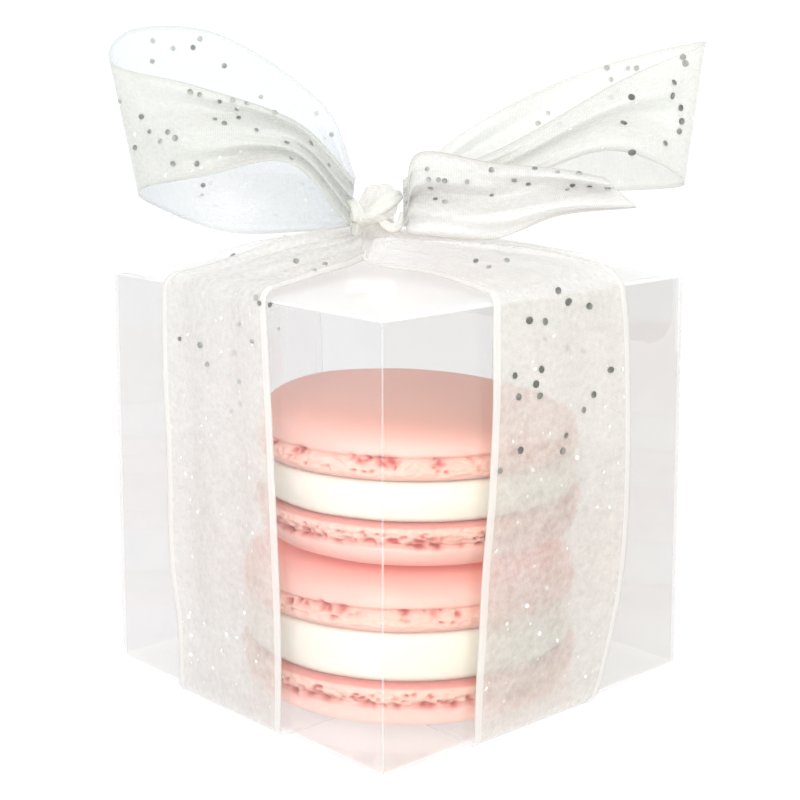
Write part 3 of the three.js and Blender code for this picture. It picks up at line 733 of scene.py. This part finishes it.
def armLine(at, knotOut):
    # the arm's middle line: distance out from the box's axis, height, and outward normal
    lidLevel = boxTop + wrap["lidStandOff"]
    bendStart = wrap["lidEdge"] - wrap["lidTurn"]
    bendEnd = wrap["lidEdge"] + wrap["lidTurn"]
    lidBendOut = boxHalf + wrap["lidStandOff"] - wrap["lidBend"]
    rise = follow(wrap["rise"], at / bendStart)
    outLid = blend(knotOut + wrap["gatherOut"], lidBendOut, at / bendStart)
    outLid = np.where(at < 0, knotOut + wrap["gatherOut"] * np.maximum(1 + at / 0.1, 0.2), outLid)
    angle = np.clip((at - bendStart) / (bendEnd - bendStart), 0, 1) * (np.pi / 2)
    outBend = lidBendOut + wrap["lidBend"] * np.sin(angle)
    upBend = lidLevel - wrap["lidBend"] * (1 - np.cos(angle))
    baseBendTop = wrap["underBase"] + wrap["baseBend"]
    baseStart = wrap["baseEdge"] - wrap["baseTurn"]
    wall = boxHalf + wrap["wallStandOff"]
    foot = wall + wrap["footOut"]
    down = np.clip((at - bendEnd) / (baseStart - bendEnd), 0, 1)
    outWall = follow([[0, boxHalf + wrap["lidStandOff"]], [0.25, wall], [0.8, wall], [1, foot]], down)
    upWall = blend(lidLevel - wrap["lidBend"], baseBendTop, down)
    turn = np.clip((at - baseStart) / (wrap["baseEdge"] - baseStart), 0, 1) * (np.pi / 2)
    outFoot = foot - wrap["baseBend"] * (1 - np.cos(turn))
    upFoot = baseBendTop - wrap["baseBend"] * np.sin(turn)
    under = np.clip((at - wrap["baseEdge"]) / (wrap["baseMiddle"] - wrap["baseEdge"]), 0, 1)
    outBase = blend(foot - wrap["baseBend"], 0, under)
    where = [at < bendStart, at < bendEnd, at < baseStart, at < wrap["baseEdge"]]
    none = 0 * at
    out = np.select(where, [outLid, outBend, outWall, outFoot], outBase)
    up = np.select(where, [lidLevel + rise, upBend, upWall, upFoot], wrap["underBase"] + none)
    normalOut = np.select(where, [none, np.sin(angle), 1 + none, np.cos(turn)], none)
    normalUp = np.select(where, [1 + none, np.cos(angle), none, -np.sin(turn)], -1 + none)
    return out, up, normalOut, normalUp


def armFold(at, t, phase):
    # lengthwise pleats, deep and tight at the gather and fading down the wall, none under the base
    tight = 1 - smoothStep(0.3, 0.62, at)
    drift = 0.5 * np.sin(5.0 * at + phase)
    fine = 2 * np.pi * wrap["pleats"] * (t + drift * 0.1) / 2 + phase * 3 + 0.8 * np.sin(7 * at)
    fine = 0.5 + 0.5 * np.sin(fine)
    broad = 0.5 + 0.5 * np.sin(2.2 * np.pi * t + phase)
    fold = follow(wrap["foldDepth"], at) * blend(broad, 0.3 * broad + 0.7 * fine ** 1.3, tight)
    return np.where(at > wrap["baseEdge"] - wrap["baseTurn"], 0, fold)


def tented(arm, at, t):
    # the arm stands off the lid on its way down from the knot, most on its raised side
    if not arm["raised"]:
        return follow(arm["raise"], at)
    share = ((1 + arm["raised"] * t) / 2) ** 1.2
    return follow(arm["raise"], at) * share - follow(wrap["nearSag"], at) * (1 - share)


def wrapSurface(outward, sideways, armAhead, armBehind, lift):
    # one band of the wrap: down the arm ahead to the base's middle, and up the arm behind
    knotOut = float(knotMiddle @ outward)
    knotSide = float(knotMiddle @ sideways)

    def place(s, t):
        behind = s > wrap["baseMiddle"]
        at = np.where(behind, 2 * wrap["baseMiddle"] - s, s)
        side = np.where(behind, -1.0, 1.0)
        lines = zip(armLine(at, knotOut), armLine(at, -knotOut))
        out, up, normalOut, normalUp = (np.where(behind, b, a) for a, b in lines)
        foldAhead = armFold(at, t, 2.6) * blend(armAhead["folds"], 1, smoothStep(0.3, 0.6, at))
        fold = np.where(behind, armFold(at, t, 1.1), foldAhead)
        low = np.where(behind, follow(armBehind["low"], at), follow(armAhead["low"], at))
        high = np.where(behind, follow(armBehind["high"], at), follow(armAhead["high"], at))
        lateral = blend(low, high, (1 + t) / 2)
        pinch = smoothStep(wrap["start"], 0.05, at)
        lateral = knotSide + (lateral - knotSide) * blend(wrap["gatherWidth"], 1, pinch)
        under = smoothStep(wrap["baseEdge"] - wrap["baseTurn"], wrap["baseEdge"] + 0.02, at)
        tent = np.where(behind, tented(armBehind, at, t), tented(armAhead, at, t))
        point = lateral[..., None] * sideways + (side * (out + fold * normalOut))[..., None] * outward
        point[..., 2] = up + fold * normalUp + under * lift + tent
        return point

    return place


halfStations = np.concatenate([
    np.linspace(wrap["start"], 0.4, 60), np.linspace(0.406, 0.496, 16), np.linspace(0.505, 0.965, 46),
    np.linspace(0.97, 1.0, 9), np.linspace(1.03, 1.27, 9),
])
wrapStations = np.concatenate([
    halfStations, [wrap["baseMiddle"]], (2 * wrap["baseMiddle"] - halfStations)[::-1],
])
alongX = np.array([1.0, 0, 0])
alongY = np.array([0, 1.0, 0])
frontBack = wrapSurface(-alongY, alongX, arms["front"], arms["back"], -0.06)
rightLeftRaw = wrapSurface(alongX, alongY, arms["right"], arms["left"], 0.1)


def rightLeft(s, t):
    return rightLeftRaw(s, -t)


# Bow pieces: each station is the upper and the lower edge as [across, up from the lid, ahead]
bowStations = {
    "bow_loop_left": [
        [[-5.3, 11.6, -1.6], [-5.9, 5.8, -1.4]], [[-9.6, 21.0, -6.0], [-11.5, 4.6, -5.2]],
        [[-22.5, 29.6, -8.4], [-22.0, 4.3, -6.8]], [[-33.4, 30.4, -5.8], [-30.4, 7.8, -3.8]],
        [[-35.4, 26.2, -0.4], [-31.7, 10.7, 3.0]], [[-24.8, 23.7, 4.8], [-23.1, 13.2, 12.4]],
        [[-12.4, 19.2, 3.0], [-12.8, 14.6, 8.6]], [[-5.3, 11.9, 1.0], [-5.9, 6.4, 2.2]],
    ],
    "bow_loop_right": [
        [[0.8, 11.2, -1.6], [0.9, 5.6, -1.4]], [[10.8, 18.7, -5.6], [12.0, 7.2, -5.0]],
        [[25.1, 25.2, -8.2], [26.0, 9.4, -6.8]], [[38.5, 28.8, -1.6], [35.8, 11.3, 1.6]],
        [[27.0, 23.8, 4.8], [25.4, 16.2, 10.6]], [[12.5, 15.4, 1.8], [12.9, 11.1, 5.6]],
        [[0.8, 11.6, 1.0], [0.9, 6.2, 1.6]],
    ],
    "bow_tail_left": [
        [[-5.4, 8.6, -4.2], [-5.4, 5.2, -5.2]], [[-12.5, 11.4, -9.8], [-12.2, 4.6, -12.4]],
        [[-21.0, 11.8, -11.8], [-20.4, 4.4, -17.2]], [[-26.5, 11.4, -12.2], [-30.4, 5.4, -16.4]],
    ],
    "bow_tail_right": [
        [[1.2, 10.0, 3.4], [1.2, 6.1, 4.6]], [[2.8, 15.4, 6.0], [2.6, 6.1, 10.6]],
        [[11.5, 14.5, 9.2], [11.5, 5.9, 15.0]], [[19.0, 14.0, 11.6], [19.0, 8.8, 17.0]],
        [[24.5, 13.0, 12.6], [28.4, 9.5, 15.5]],
    ],
}
# Keep is the share of the cut's width that is left across the folds, pleats how tight the folds are
bowFolds = {
    "loop": {
        "keep": [[0, 0.80], [0.2, 0.66], [0.5, 0.60], [0.8, 0.62], [1, 0.80]],
        "pleats": [[0, 1], [0.12, 0.7], [0.3, 0.25], [0.5, 0.12], [0.7, 0.25], [0.88, 0.7], [1, 1]],
    },
    "tail": {
        "keep": [[0, 0.85], [0.3, 0.68], [1, 0.6]],
        "pleats": [[0, 1], [0.3, 0.5], [0.7, 0.25], [1, 0.15]],
    },
}
bowSeeds = {"bow_loop_left": 0.4, "bow_loop_right": 2.2, "bow_tail_left": 1.0, "bow_tail_right": 3.1}


def bowSurface(stations, folds, seed):
    last = len(stations) - 1

    def edge(which, axis, s):
        return follow([[i / last, station[which][axis]] for i, station in enumerate(stations)], s)

    def place(s, t):
        high = [edge(0, axis, s) for axis in range(3)]
        low = [edge(1, axis, s) for axis in range(3)]
        width = np.sqrt(sum((a - b) ** 2 for a, b in zip(high, low)))
        spare = np.sqrt(np.maximum((follow(folds["keep"], s) * cloth["width"]) ** 2 - width ** 2, 0))
        tight = follow(folds["pleats"], s)
        fine = np.sin(3.2 * np.pi * t + 1.3 * np.sin(4 * s + seed))
        broad = np.sin(1.7 * np.pi * t + 2.6 * np.sin(2.0 * s + seed))
        fold = spare * (tight * fine / 7.5 + (1 - tight) * broad / 4)
        mixed = [blend(b, a, (1 + t) / 2) for a, b in zip(high, low)]
        point = mixed[0][..., None] * across + (mixed[2] + fold)[..., None] * ahead
        point[..., 2] = boxTop + mixed[1]
        return point

    return place


bowShapes = {}
for name, stations in bowStations.items():
    bowShapes[name] = bowSurface(stations, bowFolds["tail" if "tail" in name else "loop"], bowSeeds[name])


def surfaceNormals(grid):
    normal = np.cross(np.gradient(grid, axis=0), np.gradient(grid, axis=1))
    return normal / np.maximum(np.linalg.norm(normal, axis=2, keepdims=True), 1e-9)


def lengthsAlong(grid):
    # length from the first row to each row, down the middle column
    steps = np.linalg.norm(np.diff(grid[:, grid.shape[1] // 2], axis=0), axis=1)
    return np.concatenate([[0], np.cumsum(steps)])


def clothPiece(name, surface, stations, columns, material, paintedLight):
    # a closed thin sheet laid along surface(s, t), with its selvedges a little thicker
    s, t = np.meshgrid(stations, np.linspace(-1, 1, columns + 1), indexing="ij")
    grid = surface(s, t)
    edge = smoothStep(1 - 2.4 * cloth["selvedge"] / cloth["width"], 1, np.abs(t))
    half = surfaceNormals(grid) * (0.5 * (cloth["thickness"] + cloth["selvedgeRise"] * edge)[..., None])
    rows, wide = s.shape
    count = rows * wide
    faces = gridFaces(rows, wide) + gridFaces(rows, wide, count, True)
    for i in range(rows - 1):
        a = i * wide
        b = a + wide
        faces.append((a, count + a, count + b, b))
        a += wide - 1
        b += wide - 1
        faces.append((b, count + b, count + a, a))
    for j in range(wide - 1):
        faces.append((j + 1, count + j + 1, count + j, j))
        a = (rows - 1) * wide + j
        faces.append((a, count + a, count + a + 1, a + 1))
    down = lengthsAlong(grid)[:, None] / cloth["width"] + 0 * t
    uv = np.stack([(1 + t) / 2, down], axis=2).reshape(-1, 2)
    paintedLightThin = (paintedLight(s, t) if paintedLight else 0 * s).ravel()
    points = np.vstack([(grid + half).reshape(-1, 3), (grid - half).reshape(-1, 3)])
    marks = {"paintedLightThin": np.concatenate([paintedLightThin, paintedLightThin])}
    return meshPiece(name, points, faces, material, np.vstack([uv, uv]), marks)


def ribbonPiece(name, node, surface, stations, columns, finishes, paintedLight=None):
    # one cut of the ribbon in its place, and its length along its middle in metres
    piece = clothPiece(name, surface, stations, columns, ribbonCloth[finishes[0]], paintedLight)
    for finish in finishes[1:]:
        piece.data.materials.append(ribbonCloth[finish])
    s, t = np.meshgrid(stations, np.linspace(-1, 1, 9), indexing="ij")
    length = float(lengthsAlong(surface(s, t))[-1]) * mm
    area = sum(face.area for face in piece.data.polygons) / 2
    print(name, "length", round(length, 4), "area share", round(area / (0.025 * length), 3))
    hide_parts(node)
    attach(piece, "root")
    return piece, length


print("stage: ribbon wrap")

wrapFinishes = ["wrap", "far_wrap", "right_arm", "right_band_shaded"]
for name, surface in (("ribbon_front_back", frontBack), ("ribbon_right_left", rightLeft)):
    piece, length = ribbonPiece(name, "ribbon_wrap", surface, wrapStations, 64, wrapFinishes)
    # the half beyond the base's middle is the far side; there and under the base the cloth is a paler,
    # thinner copy, painted for the light that comes through it from behind. The right arm is a paler copy
    # over the lid, as painted light, and a darker copy down the wall, as painted shade
    for face in piece.data.polygons:
        far = face.center.y > 0 if surface is frontBack else face.center.x < 0
        if far or face.center.z < 0.6 * mm:
            face.material_index = 1
        elif surface is rightLeft:
            face.material_index = 2 if face.center.z > boxTop * mm else 3

print("stage: bow")

# where the cloth is thinned as painted light: at the knot, and as a painted highlight low on the left loop
paintedLightPlaces = {"atKnot": 0.28, "reach": 0.2, "glow": 0.75, "glowAlong": 0.29, "glowAcross": -0.75}


def loopPaintedLight(s, t):
    # painted light: a loop is tied in the knot at both ends, and its cloth is thinned there for the light
    # that glances in among its packed folds
    return paintedLightPlaces["atKnot"] * (1 - smoothStep(0.0, paintedLightPlaces["reach"], np.minimum(s, 1 - s)))


def leftLoopPaintedLight(s, t):
    # painted highlight: the cloth is thinned low on the left loop's back layer, where light breaks through
    away = ((s - paintedLightPlaces["glowAlong"]) / 0.07) ** 2 + ((t - paintedLightPlaces["glowAcross"]) / 0.32) ** 2
    return loopPaintedLight(s, t) + paintedLightPlaces["glow"] * np.exp(-away)


bowFinishes = {
    "bow_loop_left": (["left_loop_back_lit", "left_loop_front_shaded"], leftLoopPaintedLight),
    "bow_loop_right": (["loop"], loopPaintedLight),
    "bow_tail_left": (["left_tail_lit"], None),
    "bow_tail_right": (["right_tail"], None),
}
for name, surface in bowShapes.items():
    finishes, paintedLight = bowFinishes[name]
    stations = np.linspace(0, 1, 50 if "tail" in name else 130)
    piece, length = ribbonPiece(name + "_cloth", name, surface, stations, 56, finishes, paintedLight)
    if len(finishes) > 1:
        # painted shade and reflection: the loop's front layer gets a darker copy of the cloth, its back layer
        # a paler, bluish one
        cut = piece.data.uv_layers["cut"].data
        for face in piece.data.polygons:
            face.material_index = int(cut[face.loop_start].uv[1] * cloth["width"] * mm > 0.495 * length)


def rolledStrip(name, path, radii, flat, flutes, seed, material):
    # a strip rolled lengthwise along a path through its points, flattened and fluted
    steps = 60
    sides = 48
    keys = np.linspace(0, 1, len(path))
    at = np.linspace(0, 1, steps)
    centre = np.stack([follow(np.stack([keys, line], axis=1), at) for line in np.array(path).T], axis=1)
    radius = follow(np.stack([keys, radii], axis=1), at)
    around = np.linspace(0, 2 * np.pi, sides, endpoint=False)
    ripple = 1 + 0.10 * np.cos(flutes * around[None, :] + 0.9 * at[:, None] + seed)
    ripple += 0.03 * np.cos(2 * flutes * around[None, :] + seed)
    points = tubePoints(centre, radius[:, None] * ripple, around, [0.12, -0.09, 1.0], flat)
    share = 0.1 + 0.8 * (0.5 + 0.5 * np.cos(around))[None, :] + 0 * at[:, None]
    down = at[:, None] * 0.6 + 0 * around[None, :]
    uv = np.vstack([np.stack([share, down], axis=2).reshape(-1, 2), [[0.5, 0], [0.5, 0.6]]])
    return meshPiece(name, points, tubeFaces(steps, sides), material, uv)


# The knot: a pleated turn round the loops, a rolled fold across it, a small curled strip and a tuck.
# The paths' points are [across, up from the lid, ahead]
knotPaths = {
    "bow_knot_turn": {
        "path": [(-2.9, 5.6, -1.6), (-3.2, 5.4, 1.2), (-3.0, 6.5, 2.8), (-2.6, 8.2, 3.1), (-2.1, 9.8, 1.6),
                 (-2.0, 10.0, -0.8), (-2.2, 8.8, -2.6), (-2.6, 7.0, -2.7), (-2.9, 5.6, -1.6)],
        "radii": [1.1, 1.2, 1.3, 1.3, 1.1, 1.1, 1.1, 1.2, 1.1], "flat": 1.9, "flutes": 5,
    },
    "bow_knot_fold": {
        "path": [(-5.4, 5.9, 2.4), (-3.9, 7.2, 3.7), (-2.2, 8.4, 4.2), (-0.7, 9.6, 3.8), (0.3, 10.0, 2.6)],
        "radii": [0.5, 0.8, 0.95, 1.0, 0.6], "flat": 1.0, "flutes": 3,
    },
    "bow_knot_curl": {
        "path": [(-2.4, 8.2, 4.3), (-1.5, 6.7, 4.9), (-0.5, 6.2, 5.1), (0.4, 6.7, 4.8), (0.7, 8.0, 4.2)],
        "radii": [0.4, 0.55, 0.6, 0.5, 0.3], "flat": 0.9, "flutes": 3,
    },
    "bow_knot_tuck": {
        "path": [(-6.2, 9.3, 1.8), (-5.2, 8.6, 3.2), (-4.7, 7.1, 3.9), (-5.0, 5.2, 3.4)],
        "radii": [0.4, 0.75, 0.8, 0.45], "flat": 1.1, "flutes": 4,
    },
}
knotPieces = []
for name, shape in knotPaths.items():
    path = [across * a + ahead * b + np.array([0, 0, boxTop + up]) for a, up, b in shape["path"]]
    # painted light: the knot's turn gets a paler, more see-through copy of the cloth
    finish = ribbonCloth["knot_turn" if name == "bow_knot_turn" else "knot"]
    piece = rolledStrip(name, path, shape["radii"], shape["flat"], shape["flutes"], len(knotPieces), finish)
    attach(piece, "root")
    if name == "bow_knot_turn":
        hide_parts("bow_knot")
    knotPieces.append(piece)

print("stage: glitter")

# Glitter: flat round spots stuck on both sides of the ribbon, with sizes in millimetres
glitterLook = {
    "dark": {
        "colour": (0.15, 0.155, 0.14), "metallic": 0.6, "roughness": 0.35, "diameter": 1.0, "thickness": 0.06,
        "seed": 5,
    },
    "grey": {
        "colour": (0.25, 0.26, 0.24), "metallic": 0.5, "roughness": 0.4, "diameter": 0.78, "thickness": 0.05,
        "seed": 7,
    },
    "pale": {
        "colour": (0.93, 0.94, 0.9), "metallic": 0.2, "roughness": 0.25, "diameter": 0.55, "thickness": 0.05,
        "seed": 9,
    },
}
spotLook = {"sides": 10, "sizeSpread": 0.3, "tilt": 0.28, "freeLean": 0.3, "clearance": 0.05, "lighter": 1.9}


def glitterMaterial(name, look):
    colour = look["colour"]
    material, tree, shader = newMaterial(name, {"Base Color": colour, "Metallic": look["metallic"]})
    tone = noiseNode(tree, objectPlace(tree), 900.0, 1.0)
    lighter = tuple(min(1.0, c * spotLook["lighter"] + 0.04) for c in colour)
    feed(shader, {
        "Base Color": mixColour(tree, rampNode(tree, tone, 0.35, 0.7), colour, lighter),
        "Roughness": rampNode(tree, tone, 0.3, 0.7, look["roughness"], look["roughness"] + 0.2),
    })
    return material


def glitterTree():
    # a small disc on each point, facing as the point says but for a little tilt
    tree = bpy.data.node_groups.new("glitterSpots", "GeometryNodeTree")
    sockets = {}
    for key, kind, value in (
        ("Geometry", "Geometry", None), ("Spot Diameter", "Float", 0.001),
        ("Spot Thickness", "Float", 0.00006), ("Size Spread", "Float", 0.25), ("Tilt", "Float", 0.3),
        ("Seed", "Int", 5), ("Finish", "Material", None),
    ):
        socket = tree.interface.new_socket(name=key, in_out="INPUT", socket_type="NodeSocket" + kind)
        if value is not None:
            socket.default_value = value
        sockets[key] = socket.identifier
    tree.interface.new_socket(name="Geometry", in_out="OUTPUT", socket_type="NodeSocketGeometry")
    given = tree.nodes.new("NodeGroupInput").outputs
    disc = addNode(tree, "GeometryNodeMeshCylinder", {
        "Vertices": spotLook["sides"], "Radius": mathNode(tree, "MULTIPLY", given["Spot Diameter"], 0.5),
        "Depth": given["Spot Thickness"],
    })
    facing = addNode(tree, "GeometryNodeInputNamedAttribute", {"Name": "facing"}, data_type="FLOAT_VECTOR")
    tilt = addNode(tree, "FunctionNodeRandomValue", {
        "Min": mathNode(tree, "MULTIPLY", given["Tilt"], -1), "Max": given["Tilt"], "Seed": given["Seed"],
    }, data_type="FLOAT_VECTOR")
    leaned = addNode(tree, "ShaderNodeVectorMath", {
        0: facing.outputs["Attribute"], 1: tilt.outputs["Value"],
    }, operation="ADD")
    turn = addNode(tree, "FunctionNodeAlignRotationToVector", {"Vector": leaned.outputs[0]}, axis="Z")
    size = addNode(tree, "FunctionNodeRandomValue", {
        2: mathNode(tree, "SUBTRACT", 1, given["Size Spread"]), 3: 1.0, "Seed": given["Seed"],
    }, data_type="FLOAT")
    spread = addNode(tree, "GeometryNodeInstanceOnPoints", {
        "Points": given["Geometry"], "Instance": disc.outputs["Mesh"], "Rotation": turn.outputs[0],
        "Scale": size.outputs[1],
    })
    real = addNode(tree, "GeometryNodeRealizeInstances", {0: spread.outputs[0]})
    finish = addNode(tree, "GeometryNodeSetMaterial", {
        "Geometry": real.outputs[0], "Material": given["Finish"],
    })
    addNode(tree, "NodeGroupOutput", {0: finish.outputs[0]})
    return tree, sockets


glitter, glitterSockets = glitterTree()


def glitterPiece(name, places, look, material):
    # places are [surface, s, t, side of the sheet]
    points = []
    facings = []
    step = 0.004
    for surface, s, t, side in places:
        ss = np.array([[s - step, s - step], [s + step, s + step]])
        tt = np.array([[t - step, t + step], [t - step, t + step]])
        corner = surface(ss, tt)
        normal = np.cross(corner[1, 0] - corner[0, 0], corner[0, 1] - corner[0, 0])
        normal /= np.linalg.norm(normal)
        # a spot with no side of its own lies on the front, its free edge lifted a little to the front
        lean = 0 if side else spotLook["freeLean"]
        side = side or (1 if normal @ ahead > 0 else -1)
        off = cloth["thickness"] / 2 + spotLook["clearance"] + 0.3 * lean
        points.append(corner.mean((0, 1)) + side * normal * off)
        facings.append(side * normal + lean * ahead)
    mesh = bpy.data.meshes.new(name + "_places")
    mesh.from_pydata((np.array(points) * mm).tolist(), [], [])
    mark = mesh.attributes.new("facing", "FLOAT_VECTOR", "POINT")
    mark.data.foreach_set("vector", np.array(facings, np.float32).ravel())
    holder = bpy.data.objects.new(name + "_holder", mesh)
    scene.collection.objects.link(holder)
    modifier = holder.modifiers.new("spots", "NODES")
    modifier.node_group = glitter
    for key, value in (
        ("Spot Diameter", look["diameter"] * mm), ("Spot Thickness", look["thickness"] * mm),
        ("Size Spread", spotLook["sizeSpread"]), ("Tilt", spotLook["tilt"]), ("Seed", look["seed"]),
        ("Finish", material),
    ):
        modifier[glitterSockets[key]] = value
    solid = bpy.data.meshes.new_from_object(holder.evaluated_get(bpy.context.evaluated_depsgraph_get()))
    solid.name = name
    bpy.data.objects.remove(holder)
    piece = bpy.data.objects.new(name, solid)
    scene.collection.objects.link(piece)
    if not solid.materials:
        solid.materials.append(material)
    return piece


# Spots in their places on the ribbon's front, each [along, across] on its own piece
surfaces = {"front_back": frontBack, "right_left": rightLeft, **bowShapes}
placedSpots = {
    "dark": [
        ("right_left", [
            [0.465, 0.03], [0.494, -0.08], [0.503, -0.41], [0.507, 0.49], [0.511, 0.28], [0.58, -0.67],
            [0.564, 0.34], [0.566, 0.7], [0.58, 0.41], [0.594, 0.36], [0.591, 0.64], [0.622, -0.3],
            [0.606, -0.44], [0.646, -0.02], [0.652, 0.59], [0.663, 0.03], [0.669, 0.88],
        ]),
        ("bow_loop_right", [
            [0.571, 0.92], [0.567, 0.8], [0.585, 0.51], [0.585, 0.28], [0.564, 0.04], [0.558, -0.18],
            [0.56, -0.35], [0.584, -0.62], [0.633, -0.95], [0.648, -0.3], [0.647, 0.44],
        ]),
    ],
    "grey": [
        ("front_back", [
            [0.468, 0.85], [0.482, 0.92], [0.531, 0.76], [0.581, 0.46], [0.548, -0.22], [0.547, -0.67],
            [0.569, -0.1], [0.193, 0.84], [0.248, 0.9], [0.216, 0.08],
        ]),
        ("right_left", [[0.272, 0.18], [0.228, 0.09], [0.268, -0.27]]),
        ("bow_loop_right", [
            [0.268, 0.53], [0.252, 0.42], [0.281, 0.28], [0.355, 0.95], [0.36, 0.75], [0.391, 0.82],
            [0.381, 0.85], [0.367, 0.55], [0.36, 0.47],
        ]),
        ("bow_loop_left", [
            [0.574, 0.4], [0.625, 0.19], [0.594, -0.34], [0.637, -0.07], [0.654, -0.24], [0.68, -0.19],
            [0.669, -0.08], [0.712, 0.84], [0.726, 0.84], [0.753, 0.81], [0.77, 0.9], [0.788, 0.92],
            [0.774, 0.7], [0.742, 0.25], [0.756, 0.17], [0.774, 0.35], [0.825, 0.93], [0.8, 0.07],
            [0.847, -0.2], [0.889, 0.37], [0.857, -0.9], [0.935, 0.32], [0.667, -0.69], [0.707, -0.76],
            [0.393, 0.85], [0.361, 0.77], [0.319, 0.9], [0.33, 0.8], [0.283, 0.7], [0.399, 0.63],
            [0.327, -0.58], [0.15, 0.79], [0.109, 0.74], [0.231, 0.55],
        ]),
        ("bow_tail_right", [
            [0.29, 0.58], [0.294, 0.35], [0.33, 0.37], [0.35, 0.37], [0.417, 0.43], [0.303, 0.15],
            [0.321, -0.17], [0.352, -0.2], [0.494, 0.82], [0.498, 0.16], [0.577, 0.62], [0.633, 0.45],
            [0.743, 0.88], [0.848, 0.93], [0.815, 0.17], [0.79, 0.01], [0.894, 0.34], [0.975, 0.33],
            [0.654, 0.93],
        ]),
    ],
    "pale": [("front_back", [[0.512, 0.17], [0.551, 0.15], [0.882, -0.76], [0.85, 0.36], [0.883, 0.19]])],
}
# Spots strewn by chance on both sides: piece, count, reach along it, and reach to each side of its middle
strewnSpots = {
    "dark": [("right_left", 9, (1.9, 2.15), 0.85), ("front_back", 9, (1.8, 2.15), 0.85)],
    "grey": [("bow_tail_left", 8, (0.2, 0.95), 0.8)],
    "pale": [
        ("front_back", 40, (0.5, 0.95), 0.9), ("right_left", 30, (0.5, 0.95), 0.9),
        ("front_back", 40, (1.65, 2.4), 0.9), ("right_left", 40, (1.65, 2.4), 0.9),
        ("bow_loop_left", 50, (0.05, 0.95), 0.9), ("bow_loop_right", 50, (0.05, 0.95), 0.9),
    ],
}
draw = random.Random(23)
for kind, look in glitterLook.items():
    places = [(surfaces[name], along, over, 0) for name, spots in placedSpots[kind] for along, over in spots]
    for name, count, reach, half in strewnSpots[kind]:
        for _ in range(count):
            side = 1 if draw.random() < 0.5 else -1
            places.append((surfaces[name], draw.uniform(*reach), draw.uniform(-half, half), side))
    piece = glitterPiece("ribbon_glitter_" + kind, places, look, glitterMaterial("glitter_" + kind, look))
    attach(piece, "root")
for piece in foodPieces:
    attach(piece, "root")

print("stage: floor, light and camera")

stage = {"floorHalf": 6000.0, "floorColour": (0.25, 0.25, 0.25), "floorGlow": 0.82}
floorMaterial = newMaterial("stage_floor_white", {
    "Base Color": stage["floorColour"], "Roughness": 0.9, "Specular IOR Level": 0.0,
    "Emission Color": (1, 1, 1), "Emission Strength": stage["floorGlow"],
})[0]
floorSides = ((-1, -1), (1, -1), (1, 1), (-1, 1))
floorCorners = [(stage["floorHalf"] * x, stage["floorHalf"] * y, 0) for x, y in floorSides]
meshPiece("stage_floor", floorCorners, [(0, 1, 2, 3)], floorMaterial)

camera = {
    "place": (160.24, -147.14, 82.35), "heading": 47.33, "pitch": 8.24, "lens": 78.23, "sensor": 36.0,
    "shift": -0.15,
}
view = bpy.data.objects.new("photo_camera", bpy.data.cameras.new("photo_camera"))
scene.collection.objects.link(view)
view.location = Vector(camera["place"]) * mm
view.rotation_euler = (math.radians(90 - camera["pitch"]), 0, math.radians(camera["heading"]))
view.data.lens = camera["lens"]
view.data.sensor_width = camera["sensor"]
view.data.shift_y = camera["shift"]
view.data.clip_start = 0.01
view.data.clip_end = 50
scene.camera = view

# The room: white behind the object, darker on the camera's side, and bright overhead
room = {"behind": 1.06, "front": 0.64, "overhead": 1.10, "heading": 47.33}
world = bpy.data.worlds.new("pale_room")
scene.world = world
world.use_nodes = True
tree = world.node_tree
direction = addNode(tree, "ShaderNodeTexCoord").outputs["Generated"]
forward = (-math.sin(math.radians(room["heading"])), math.cos(math.radians(room["heading"])), 0)
facing = addNode(tree, "ShaderNodeVectorMath", {0: direction, 1: forward}, operation="DOT_PRODUCT")
level = rampNode(tree, facing.outputs["Value"], -0.45, 0.35, room["front"], room["behind"])
level = rampNode(tree, axesNode(tree, direction)["Z"], 0.35, 0.9, level, room["overhead"])
feed(tree.nodes["Background"], {"Strength": level, "Color": (1, 1, 1)})

# Places and sizes in metres. The glint is a small far light whose reflection is the bright patch on the lid
lamps = {
    "front_soft_light": {
        "place": (0.32, -0.30, 0.26), "target": (0, 0, 0.03), "size": (0.36, 0.30), "power": 1.6,
    },
    "lid_glint_light": {
        "place": (-0.351, 0.308, 0.131), "target": (0.018, -0.018, 0.052), "size": (0.019, 0.017),
        "power": 0.0034,
    },
}
for name, look in lamps.items():
    lamp = bpy.data.lights.new(name, "AREA")
    lamp.shape = "RECTANGLE"
    lamp.size, lamp.size_y = look["size"]
    lamp.energy = look["power"]
    holder = bpy.data.objects.new(name, lamp)
    scene.collection.objects.link(holder)
    holder.location = look["place"]
    aim = Vector(look["target"]) - Vector(look["place"])
    holder.rotation_euler = aim.to_track_quat("-Z", "Y").to_euler()

scene.view_settings.view_transform = "Standard"
scene.view_settings.look = "None"
scene.view_settings.exposure = 0.0
scene.view_settings.gamma = 1.0
scene.cycles.transparent_max_bounces = 24
scene.cycles.max_bounces = 12
scene.cycles.transmission_bounces = 10
scene.cycles.diffuse_bounces = 4
